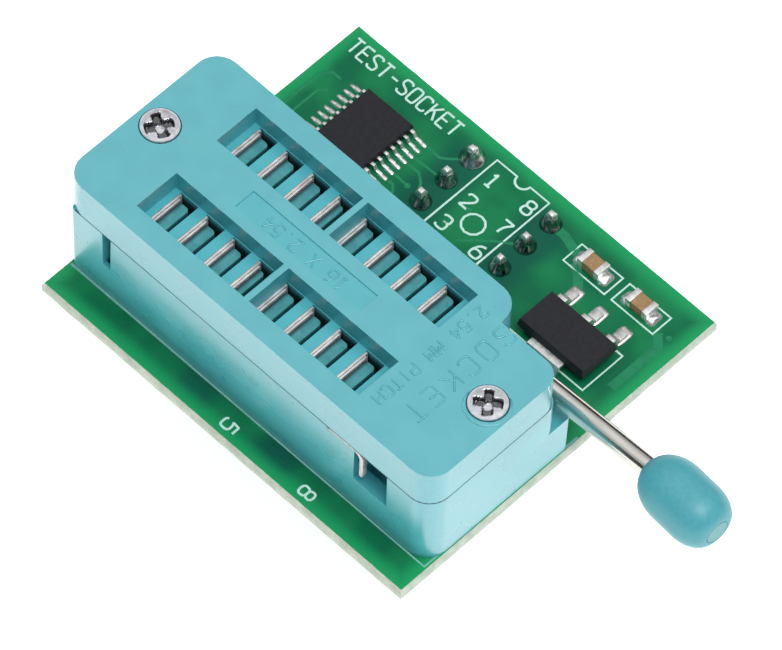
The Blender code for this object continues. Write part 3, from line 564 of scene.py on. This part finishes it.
def strokes(name, lines, wide, tall, z, finish):
    """Raised lines of one width, drawn from flat (x, y) paths; a path that ends where it starts is closed."""
    curve = bpy.data.curves.new(name, "CURVE")
    curve.dimensions = "3D"
    curve.bevel_depth = wide / 2
    curve.bevel_resolution = 2
    curve.use_fill_caps = True
    for line in lines:
        closed = len(line) > 2 and line[0] == line[-1]
        points = [p for i, p in enumerate(line) if not i or p != line[i - 1]]
        points = points[:-1] if closed else points
        spline = curve.splines.new("POLY")
        spline.points.add(len(points) - 1)
        spline.use_cyclic_u = closed
        for target, (x, y) in zip(spline.points, points):
            target.co = (x, y, 0, 1)
    holder = bpy.data.objects.new(name, curve)
    mesh = bpy.data.meshes.new_from_object(holder)
    bm = bmesh.new()
    bm.from_mesh(mesh)
    bpy.data.objects.remove(holder)
    bpy.data.curves.remove(curve)
    bpy.data.meshes.remove(mesh)
    bm.transform(Matrix.Translation((0, 0, z)) @ Matrix.Diagonal((1, 1, 2 * tall / wide, 1)))
    return piece(name, bm, finish, degrees=60)


# Plain stroke letters on a grid four wide and six high; a point given twice is a sharp corner
GLYPHS = {
    "C": [[(4, 4.9), (3.4, 6), (0.6, 6), (0, 5), (0, 1), (0.6, 0), (3.4, 0), (4, 1.1)]],
    "E": [[(4, 6), (0, 6), (0, 6), (0, 0), (0, 0), (4, 0)], [(0, 3.1), (3.4, 3.1)]],
    "H": [[(0, 0), (0, 6)], [(4, 0), (4, 6)], [(0, 3), (4, 3)]],
    "I": [[(2, 0), (2, 6)]],
    "K": [[(0, 0), (0, 6)], [(3.8, 6), (0, 2.3)], [(1.4, 3.7), (4, 0)]],
    "M": [[(0, 0), (0, 6), (0, 6), (2, 2.4), (2, 2.4), (4, 6), (4, 6), (4, 0)]],
    "O": [[(2, 0), (0.5, 0), (0, 1), (0, 5), (0.5, 6), (3.5, 6), (4, 5), (4, 1), (3.5, 0), (2, 0)]],
    "P": [[(0, 0), (0, 6), (0, 6), (3.2, 6), (4, 5.4), (4, 3.5), (3.2, 2.9), (0, 2.9)]],
    "S": [[(4, 5.0), (3.5, 6), (0.6, 6), (0, 5.2), (0, 3.6), (4, 2.4), (4, 0.8), (3.4, 0), (0.5, 0),
           (0, 1.0)]],
    "X": [[(0, 6), (4, 0)], [(4, 6), (0, 0)]],
    "T": [[(0, 6), (4, 6)], [(2, 6), (2, 0)]],
    "1": [[(0.9, 4.8), (2.1, 6), (2.1, 6), (2.1, 0)], [(0.9, 0), (3.3, 0)]],
    "2": [[(0.1, 4.8), (0.7, 6), (3.4, 6), (4, 5.2), (4, 3.8), (0, 0), (0, 0), (4, 0)]],
    "3": [[(0.2, 5.2), (0.8, 6), (3.4, 6), (4, 5.2), (4, 3.2), (1.6, 3.2)],
          [(1.6, 3.2), (4, 3.2), (4, 0.8), (3.4, 0), (0.6, 0), (0, 0.9)]],
    "4": [[(3.1, 0), (3.1, 6), (3.1, 6), (0, 1.9), (0, 1.9), (4.2, 1.9)]],
    "5": [[(3.8, 6), (0.5, 6), (0.5, 6), (0.2, 3.2), (0.2, 3.2), (1.2, 3.9), (4, 3.9), (4, 0.6), (3.2, 0),
           (0.6, 0), (0, 0.9)]],
    "6": [[(3.4, 6), (1.2, 5.4), (0, 2.8), (0, 0.7), (0.8, 0), (3.4, 0), (4, 0.8), (4, 3.3), (0.7, 3.5),
           (0, 2.2)]],
    "7": [[(0, 6), (4, 6), (4, 6), (1.6, 2.8), (1.4, 0)]],
    "8": [[(2, 3.2), (0.4, 3.3), (0.2, 6), (3.8, 6), (3.6, 3.3), (2, 3.2), (0.2, 3.1), (0, 0), (4, 0),
           (3.8, 3.1), (2, 3.2)]],
    "-": [[(0.4, 3), (3.6, 3)]],
    ".": [[(1.8, 0), (2.2, 0)]],
    " ": [],
}


def written(text, start, reading, up, cap, step=0.0, narrow=1.0):
    """The text's strokes as flat paths; start is the lower corner of its first letter, step is in millimetres
    and narrow is a share of the letters' usual width."""
    unit = cap / 6
    start, reading, up = Vector(start), Vector(reading), Vector(up)
    lines = []
    for number, letter in enumerate(text):
        for path in GLYPHS[letter]:
            line = []
            for gx, gy in smooth_path(path):
                point = start + reading * (gx * unit * narrow + number * step) + up * gy * unit
                line.append((point.x, point.y))
            lines.append(line)
    return lines


# ---------------------------------------------------------------- board

def perimeter(x, y, spacing):
    """Points round a rectangle, with the outward direction at each."""
    corners = [Vector((x[0], y[0])), Vector((x[1], y[0])), Vector((x[1], y[1])), Vector((x[0], y[1]))]
    middle = Vector(((x[0] + x[1]) / 2, (y[0] + y[1]) / 2))
    found = []
    for a, b in zip(corners, corners[1:] + corners[:1]):
        count = round((b - a).length / spacing)
        along = (b - a).normalized()
        out = Vector((along.y, -along.x))
        for i in range(count):
            corner = a - middle
            diagonal = Vector((math.copysign(1, corner.x), math.copysign(1, corner.y)))
            found.append((a + (b - a) * i / count, out if i else diagonal))
    return found


def board():
    """Pale laminate whose sawn edge stands out, ragged, between two sheets of green lacquer."""
    edge = ((MASK_TOP - 0.02, 0.0), (-0.12, 0.06), (-0.34, 0.15), (-0.62, 0.12), (-0.88, 0.13), (-1.08, 0.05),
            (BOARD_LOW + 0.02, 0.0))
    outline = perimeter(BOARD_X, BOARD_Y, 0.28)
    rings = []
    for z, out in edge:
        points = []
        for place, direction in outline:
            ragged = 0.03 * noise.noise(Vector((place.x * 1.1, place.y * 1.1, z * 2.1)))
            ragged += 0.012 * noise.noise(Vector((place.x * 4.0, place.y * 4.0, z * 7.0)))
            reach = min(out + ragged - 0.02, 0.155)
            points.append((place.x + direction.x * reach, place.y + direction.y * reach, z))
        rings.append(points)
    bm = bmesh.new()
    add_loft(bm, rings)
    piece("board_laminate", bm, "laminate", replaces=("circuit_board",), degrees=60)
    sheets = (("board_lacquer_top", -0.03, MASK_TOP), ("board_lacquer_below", BOARD_LOW, BOARD_LOW + 0.04))
    for name, low, high in sheets:
        rings = []
        for z in (low, high):
            points = []
            for place, direction in outline:
                inset = 0.035 + 0.02 * noise.noise(Vector((place.x * 3.0, place.y * 3.0, 4.0)))
                points.append((place.x - direction.x * inset, place.y - direction.y * inset, z))
            rings.append(points)
        bm = bmesh.new()
        add_loft(bm, rings)
        piece(name, bm, "mask")


def traces():
    """Copper tracks, which show as slightly raised lines under the lacquer."""
    top = [
        [(-4.55, 17.15), (-3.38, 17.12), (-2.80, 17.56), (-1.80, 18.60)],
        [(-4.55, 15.85), (-2.60, 15.95), (-1.80, 16.14)],
        [(-4.55, 15.20), (-3.50, 15.20), (-2.83, 14.70), (-2.50, 14.20), (-1.80, 13.60)],
        [(-4.55, 13.88), (-3.50, 13.88), (-3.29, 13.84)],
        [(-4.55, 13.22), (-4.08, 13.20), (-3.66, 12.76), (-3.66, 9.0)],
        [(2.2, 13.1), (4.1, 14.9), (5.8, 16.1)],
        [(-12.8, 16.9), (-13.6, 16.9), (-14.2, 16.2), (-14.2, 9.0)],
        [(-12.8, 15.6), (-13.3, 15.1), (-13.3, 9.0)],
    ]
    strokes("tracks_top", top, 0.22, INK_TALL, MASK_TOP, "trace")
    wide = [
        [(5.9, 18.7), (7.2, 18.7), (8.9, 18.2)],
        [(9.3, 17.6), (10.2, 16.9), (11.0, 16.0)],
        [(17.2, 17.5), (18.0, 16.7), (18.0, 12.0)],
    ]
    strokes("tracks_wide", wide, 0.7, INK_TALL, MASK_TOP, "trace")
    below = []
    near = ROW_Y[0]
    for column in range(CONTACTS_PER_ROW):
        x = column_x(column)
        below.append([(x, near), (x, near + 1.6), (x + 0.9, near + 2.5), (x + 0.9, 1.2), (x, 2.1), (x, 3.8)])
    for number, column in enumerate(range(CONTACTS_PER_ROW // 2, CONTACTS_PER_ROW)):
        x = column_x(column)
        bend = (HEADER_X[1] + 1.3 - number * 0.2, 9.6)
        pin = (HEADER_X[1], HEADER_TOP_Y - (3 - number) * PITCH)
        below.append([(x, ROW_Y[1]), (x, 7.5), bend, pin])
    strokes("tracks_below", below, 0.3, INK_TALL, BOARD_LOW, "trace")


def print_on_board():
    """The white printing: outlines, pin numbers and a plain title."""
    notch = arc((2.10, 19.86), 0.62, 180, 360, 10)
    lines = [[(-0.45, 9.0), (-0.45, 19.86), *notch, (4.57, 19.86), (4.57, 9.0)]]
    lines.append([(9.6, 10.46), (16.80, 10.47), (16.80, 14.43), (16.10, 14.43)])
    for x, y in (((8.50, 12.43), (17.17, 19.05)), ((13.07, 17.00), (17.20, 19.06))):
        lines.append([(x[0], y[0]), (x[1], y[0]), (x[1], y[1]), (x[0], y[1]), (x[0], y[0])])
    round_socket = [[(-14.91, -7.31), (19.12, -7.31), (19.20, 7.50)]]
    strokes("socket_outline", round_socket, INK_WIDE, INK_TALL, MASK_TOP, "faint_ink")
    ring_points = arc((2.11, 14.83), 0.87, 0, 360, 12)
    ring_points[-1] = ring_points[0]
    lines.append(ring_points)
    cap = 1.2
    pin_numbers = (("1", 0.51, 18.39), ("2", 0.56, 15.98), ("3", 0.55, 13.52), ("8", 3.85, 18.55),
                   ("7", 3.80, 16.16), ("6", 3.88, 13.45))
    for text, x, y in pin_numbers:
        lines += written(text, (x - cap / 3, y - cap / 2), (1, 0), (0, 1), cap)
    for text, x, y in (("5", 1.99, -8.79), ("8", 9.48, -8.84)):
        lines += written(text, (x - cap / 2, y + cap / 3), (0, -1), (1, 0), cap)
    strokes("printing", lines, INK_WIDE, INK_TALL, MASK_TOP, "ink")
    title = written("TEST-SOCKET", (-14.40, 18.95), (1, 0), (0, 1), 1.3, 0.97, 0.8)
    strokes("title", title, 0.17, INK_TALL, MASK_TOP, "ink")


# ---------------------------------------------------------------- solder

def header_pin_places():
    """Numbers and places of the eight pins, counted down one side and up the other."""
    for number in range(1, 9):
        row = number - 1 if number <= 4 else 8 - number
        yield number, HEADER_X[0 if number <= 4 else 1], HEADER_TOP_Y - row * PITCH


def solder_joints():
    """A concave cone of solder round each header pin, and round each contact's tail under the board."""
    cones = {"solder": bmesh.new(), "fresh_solder": bmesh.new()}
    for number, x, y in header_pin_places():
        finish, wide, tall = ("fresh_solder", 0.98, 1.25) if number == 1 else ("solder", 0.82, 1.08)
        profile = [(wide, 0.0), (wide * 0.98, 0.08), (wide * 0.88, 0.24), (wide * 0.72, 0.45)]
        profile += [(0.50, tall * 0.68), (0.42, tall * 0.88), (0.34, tall)]
        rings = []
        for r, z in profile:
            points = [Vector((x, y, MASK_TOP)) + point for point in ring(r, 28, z)]
            rings.append([lumpy(point, 0.05 if z else 0.02, 1.4, number) for point in points])
        add_loft(cones[finish], rings)
    for finish, bm in cones.items():
        piece("header_" + finish, bm, finish, degrees=70)
    bm = bmesh.new()
    for index, (x, y) in enumerate(contact_places()):
        profile = [(0.80, 0.0), (0.76, -0.10), (0.60, -0.34), (0.42, -0.70), (0.32, -1.15), (0.26, -1.4)]
        rings = []
        for r, z in profile:
            points = [Vector((x, y, BOARD_LOW)) + point for point in ring(r, 20, z)]
            rings.append([lumpy(point, 0.03, 1.7, index + 20) for point in points])
        add_loft(bm, rings)
    piece("tail_solder", bm, "solder", degrees=70)


def column_x(column):
    return (column - (CONTACTS_PER_ROW - 1) / 2) * PITCH


def contact_places():
    for y in ROW_Y:
        for column in range(CONTACTS_PER_ROW):
            yield column_x(column), y


def pads():
    """Solder on the pads of the surface-mounted parts."""
    bm = bmesh.new()
    x, y = SHIFTER
    seed = 40
    for side in (-1, 1):
        for number in range(SHIFTER_LEADS):
            along = y + (number - (SHIFTER_LEADS - 1) / 2) * SHIFTER_PITCH
            span = sorted(x + side * out for out in SHIFTER_PAD)
            add_mound(bm, span, (along - 0.17, along + 0.17), 0.005, 0.115, seed, 8, 4.0, 0.02)
            seed += 1
    for index in range(3):
        across = REGULATOR_X + (index - 1) * REGULATOR_PITCH
        add_mound(bm, (across - 0.55, across + 0.55), REGULATOR_PAD_Y, 0.005, 0.12, seed, 10, 4.5, 0.03)
        seed += 1
    add_mound(bm, (REGULATOR_X - 1.65, REGULATOR_X + 1.65), REGULATOR_TAB_Y, 0.005, 0.09, seed, 12, 5.0, 0.03)
    for cx, cy in CAPACITORS:
        for side in (-1, 1):
            seed += 1
            span = sorted(cx + side * out for out in CAPACITOR_PAD)
            add_mound(bm, span, (cy - 0.64, cy + 0.64), 0.005, 0.36, seed, 12, 3.4, 0.07)
    piece("pad_solder", bm, "tin", degrees=70)
    bm = bmesh.new()
    profile = [(0.23, 0.0), (0.23, 0.03), (0.15, 0.04), (0.10, 0.012)]
    for vx, vy in VIAS:
        add_turned(bm, profile, 16, Matrix.Translation((vx, vy, 0.01)))
    piece("vias", bm, "trace")


# ---------------------------------------------------------------- socket

def emboss():
    """Plain raised lettering on the cover, in the places where a moulded socket carries it."""
    lines = written("16 X 2.54", (4.05, 0.28), (-1, 0), (0, -1), 1.05, 0.85, 0.85)
    strokes("label_lettering", lines, 0.15, 0.06, COVER_TOP - 0.12, "teal")
    lines = written("2.54 MM PITCH", (11.55, 5.20), (0, -1), (1, 0), 0.95, 0.82, 0.9)
    lines += written("SOCKET", (13.70, 5.15), (0, -1), (1, 0), 1.5, 1.72)
    strokes("cover_lettering", lines, 0.16, 0.06, COVER_TOP, "teal")


def socket():
    softened("cover", "socket_cover", "teal", 0.06)
    softened("base", "socket_base", "teal", 0.05)
    softened("slider", "contact_slider", "slider", 0.07)
    softened("clip", "shaft_clip", "contact", 0.07, 3)
    emboss()
    cover_burr()
    seam_shadow_line()


def cover_burr():
    """The lip of plastic that the right screw has pushed up round its head."""
    bm = bmesh.new()
    sections = []
    steps = 48
    for i in range(steps + 1):
        share = i / steps
        turn = math.radians(-170 + 230 * share)
        wide = 0.30 * math.sin(math.pi * share) ** 0.6 * (1 + 0.5 * noise.noise(Vector((i * 0.4, 3.0, 0.0))))
        inner, outer = HEAD_R + 0.06, HEAD_R + 0.10 + wide
        high = 0.05 + 0.03 * noise.noise(Vector((i * 0.7, 8.0, 0.0)))
        lip = ((inner, -0.03), (outer, -0.03), (outer, high), (outer - 0.05, high + 0.02), (inner, 0.01))
        sections.append([
            Vector((SCREWS[1][0] + reach * math.cos(turn), reach * math.sin(turn), COVER_TOP + z))
            for reach, z in lip
        ])
    add_loft(bm, sections)
    piece("cover_burr", bm, "teal", degrees=40)


def seam_shadow_line():
    """A painted shadow: a thin near-black line standing in for the shade in the joint between cover and base.
    """
    inset = 0.02
    left = -14.5
    edge = COVER_HALF - inset
    corner, notch = CORNER_R - inset, NOTCH_R - inset
    turn_y = COVER_HALF - CORNER_R
    front = [
        (left, -edge),
        *arc((COVER_RIGHT - CORNER_R, -turn_y), corner, -90, 0),
        *arc((COVER_RIGHT - NOTCH_R, NOTCH[1] - NOTCH_R), notch, 0, 90),
        (NOTCH[0] + 0.1, NOTCH[1] - inset),
    ]
    back = [(left, edge), *arc((NOTCH[0] - CORNER_R, turn_y), corner, 90, 0)]
    strokes("seam_shadow", [front, back], 0.08, 0.06, SEAM_Z + 0.015, "seam_shadow")


def recess_depth(x, y):
    """How deep the screw's worn cross recess is at a point, as a share of its full depth."""
    def within(limit, distance, slope):
        return min(1.0, max(0.0, (limit - distance) / slope))

    arms = max(within(RECESS_LONG, abs(along), 0.10) * within(RECESS_HALF, abs(across), 0.08)
               for along, across in ((x, y), (y, x)))
    return max(0.66 * arms, within(RECESS_MIDDLE_R, math.hypot(x, y), 0.25))


def screws():
    for number, (x, turn) in enumerate(SCREWS):
        bm = bmesh.new()
        place = Matrix.Translation((x, 0, 0)) @ Matrix.Rotation(turn, 4, "Z")
        under = HEAD_TOP - HEAD_THICK
        side = ((SHANK_R, SHANK_END), (SHANK_R, under), (HEAD_R, under), (HEAD_R, HEAD_TOP - 0.16),
                (HEAD_R - 0.05, HEAD_TOP - 0.07))
        rings = [ring(radius, HEAD_SIDES, z) for radius, z in side]
        steps = 30
        for step in range(steps, -1, -1):
            radius = 0.03 + (HEAD_R - 0.16) * step / steps
            points = []
            for point in ring(radius, HEAD_SIDES):
                dome = 0.07 * (1 - (radius / HEAD_R) ** 2)
                wear = 0.012 * noise.noise(Vector((point.x * 2.6, point.y * 2.6, number * 5.0)))
                wear_and_shade = lumpy(point, 0.13, 1.3, number + 3)
                z = HEAD_TOP - 0.09 + dome + wear - RECESS_DEEP * recess_depth(wear_and_shade.x, wear_and_shade.y)
                points.append(Vector((point.x, point.y, min(z, HEAD_TOP))))
            rings.append(points)
        add_loft(bm, [[place @ point for point in points] for points in rings])
        name = ("screw_left", "screw_right")[number]
        piece(name, bm, "screw", degrees=50, replaces=("cover_" + name,))


def contact_blades():
    """Each contact is a strip folded in two, so its top edge shows as two plates side by side."""
    for index, (x, y) in enumerate(contact_places()):
        bm = bmesh.new()
        lift = 0.03 * noise.noise(Vector((index * 1.9, 0.4, 0.0)))
        for left, right, far, top in BLADE_PLATES:
            right_edge = [(right, top - 0.04), (right - 0.015, top - 0.01), (right - 0.035, top)]
            left_edge = [(left + 0.035, top), (left + 0.015, top - 0.01), (left, top - 0.04)]
            profile = [(left, BLADE_FOOT), (right, BLADE_FOOT), *right_edge, *left_edge]
            stations = ((BLADE_START, 0.05), (BLADE_START + 0.06, 0.0), (-0.9, 0.0), (0.0, 0.0), (0.8, 0.0),
                        (far - 0.06, 0.0), (far, 0.05))
            rings = []
            for along, drop in stations:
                wave = 0.012 * noise.noise(Vector((along * 1.3, index * 2.1, left)))
                rings.append([(x + px + wave, y + along, pz + (lift - drop if pz > BLADE_FOOT else 0))
                              for px, pz in profile])
            add_loft(bm, rings)
        add_slab(bm, (x - 0.65, x - 0.60), (y - 1.76, y + 1.40), (BLADE_FOOT + 0.1, 8.80))
        add_slab(bm, (x - 0.80, x - 0.46), (y - 1.5, y + 1.4), (FOOT_Z, BLADE_FOOT))
        corners = ((-1, -1), (1, -1), (1, 1), (-1, 1))
        add_loft(bm, [[Vector((x + sx * r, y + sy * r * 1.65, z)) for sx, sy in corners] for r, z in TAIL])
        number = f"{index + 1:02d}"
        piece("blade_" + number, bm, "contact", replaces=("contact_" + number,))


# ---------------------------------------------------------------- lever

def lever():
    place = Matrix.Translation(PIVOT) @ Matrix.Rotation(-math.radians(LEVER_PITCH), 4, "Y")
    start = Vector((KNOB_START, LEVER_Y, 0))
    yaw, pitch = math.radians(KNOB_YAW), math.radians(KNOB_PITCH)
    along = Vector((math.cos(yaw) * math.cos(pitch), math.sin(yaw), math.sin(pitch))).normalized()
    bend = [Vector((BEND_R - BEND_R * math.cos(turn), LEVER_Y - BEND_R + BEND_R * math.sin(turn), 0))
            for turn in (math.pi / 2 * k / 20 for k in range(21))]
    shaft_end, before_knob = Vector((0, SHAFT_END_Y, 0)), start - Vector((0.6, 0, 0))
    path = [shaft_end, *bend, before_knob, start, start + along * ROD_IN_KNOB]
    bm = bmesh.new()
    add_bar(bm, path, ROD_R, 48)
    cam = Matrix.Translation((-CAM_THROW, 0, 0)) @ Matrix.Rotation(-math.pi / 2, 4, "X")
    rim = 0.1
    lobe = [(CAM_R - rim, -CAM_HALF), (CAM_R, rim - CAM_HALF)]
    lobe += [(radius, -z) for radius, z in reversed(lobe)]
    add_turned(bm, lobe, 48, cam)
    bm.transform(place)
    piece("rod", bm, "steel", "lever", 50, ("lever_rod",))
    axis = place @ Matrix.Translation(start) @ along.to_track_quat("Z", "Y").to_matrix().to_4x4()
    knob(axis)


def knob(axis):
    """The grip, from the bore round the rod out to the flat disc let into its end."""
    bore = ROD_R + 0.03
    near, far = KNOB_Z[0] + KNOB_ROUNDING[0], KNOB_Z[1] - KNOB_ROUNDING[1]
    quarter = [math.pi / 2 * step / 16 for step in range(17)]
    start_wide, end_wide = KNOB_R - KNOB_START_R, KNOB_R - KNOB_END_R
    profile = [(bore - 0.02, ROD_IN_KNOB), (bore, 0.2), (bore, -0.14), (bore + 0.03, -0.17)]
    profile += [(KNOB_START_R + start_wide * math.sin(turn), near - KNOB_ROUNDING[0] * math.cos(turn))
                for turn in quarter[3:]]
    profile += [(KNOB_END_R + end_wide * math.cos(turn), far + KNOB_ROUNDING[1] * math.sin(turn))
                for turn in quarter[:-1]]
    end = KNOB_Z[1]
    hollow = end - 0.07
    profile += [(KNOB_END_R + 0.02, end - 0.01), (KNOB_END_R - 0.03, hollow), (KNOB_END_R - 0.10, hollow),
                (0.05, hollow)]
    bm = bmesh.new()
    add_turned(bm, profile, 72, axis)
    piece("knob", bm, "knob", "lever", 40, ("lever_knob",))
    bm = bmesh.new()
    add_turned(bm, [(0.88, end - 0.2), (0.90, end - 0.03), (0.87, end), (0.4, end), (0.05, end)], 48, axis)
    piece("knob_end", bm, "knob_end", "lever", 40)


# ---------------------------------------------------------------- parts on the board

def board_parts():
    for number, _, _ in header_pin_places():
        softened(f"pin_{number}", f"header_pin_{number}", "tin", 0.05)
    for side in ("left", "right"):
        softened(f"spacer_{side}", f"header_spacer_{side}", "header", 0.08)
        softened(f"shifter_leads_{side}", f"level_shifter_leads_{side}", "tin", 0.03)
        softened(f"regulator_leg_{side}", f"regulator_lead_{side}", "tin", 0.05)
    softened("shifter", "level_shifter_body", "black", 0.05)
    softened("regulator", "regulator_body", "black", 0.07, 3)
    softened("regulator_strip", "regulator_tab", "tin", 0.05)
    for number in (1, 2):
        softened(f"chip_capacitor_{number}", f"capacitor_{number}_body", "ceramic", 0.05)
        for side in ("left", "right"):
            end = f"capacitor_{number}_end_{side}"
            softened(f"chip_capacitor_{number}_{side}", end, "tin", 0.07, 3)


# ---------------------------------------------------------------- studio

def studio():
    """A pale floor that glows a little, a sky that is dark near the horizon, and two soft lights."""
    bm = bmesh.new()
    bmesh.ops.create_grid(bm, x_segments=1, y_segments=1, size=4.0)
    mesh = bpy.data.meshes.new("floor")
    bm.to_mesh(mesh)
    bm.free()
    floor = bpy.data.objects.new("floor", mesh)
    bpy.context.scene.collection.objects.link(floor)
    made, _, shader = blank("floor_look", specular=0.2)
    shader.inputs["Base Color"].default_value = (0.75, 0.75, 0.75, 1.0)
    shader.inputs["Roughness"].default_value = 0.9
    shader.inputs["Emission Color"].default_value = (1.0, 1.0, 1.0, 1.0)
    shader.inputs["Emission Strength"].default_value = 0.85
    mesh.materials.append(made)

    world = bpy.data.worlds.new("studio")
    bpy.context.scene.world = world
    world.use_nodes = True
    tree = world.node_tree
    split = node(tree, "ShaderNodeSeparateXYZ")
    tree.links.new(node(tree, "ShaderNodeTexCoord").outputs["Generated"], split.inputs["Vector"])
    levels = ((0.0, 0.30), (0.06, 0.06), (0.48, 0.07), (0.62, 0.62), (0.75, 0.62), (0.88, 1.0))
    sky = ramp(tree, split.outputs["Z"], [(place, (level,) * 3) for place, level in levels])
    tree.links.new(sky, tree.nodes["Background"].inputs["Color"])
    tree.nodes["Background"].inputs["Strength"].default_value = 1.0

    lights = (("key", (0.14, -0.06, 0.45), 0.20, 0.95), ("top", (0.25, 0.30, 0.60), 0.30, 0.35))
    for name, place, size, power in lights:
        data = bpy.data.lights.new(name, "AREA")
        data.shape = "DISK"
        data.size = size
        data.energy = power
        light = bpy.data.objects.new(name, data)
        light.location = place
        light.rotation_mode = "QUATERNION"
        light.rotation_quaternion = Vector(place).to_track_quat("Z", "Y")
        bpy.context.scene.collection.objects.link(light)


def camera():
    """A long lens, above and to the right of the socket's near side."""
    turn = Matrix.Rotation(math.radians(CAMERA_HEADING - 90), 3, "Z")
    tilt = Matrix.Rotation(math.radians(90 - CAMERA_DIP), 3, "X")
    roll = Matrix.Rotation(math.radians(CAMERA_ROLL), 3, "Z")
    axes = turn @ tilt @ roll
    data = bpy.data.cameras.new("camera")
    data.sensor_width = 36
    data.lens = 414.3
    data.clip_start, data.clip_end = 0.05, 10
    made = bpy.data.objects.new("camera", data)
    bpy.context.scene.collection.objects.link(made)
    place = TO_WORLD @ (Vector(CAMERA_AIM) + axes @ Vector((0, 0, CAMERA_DISTANCE)))
    made.matrix_world = Matrix.Translation(place) @ axes.to_4x4()
    bpy.context.scene.camera = made


LOOKS = make_looks()
camera()
studio()
board()
traces()
print_on_board()
solder_joints()
pads()
socket()
screws()
contact_blades()
lever()
board_parts()
bpy.context.scene.view_settings.view_transform = "Standard"
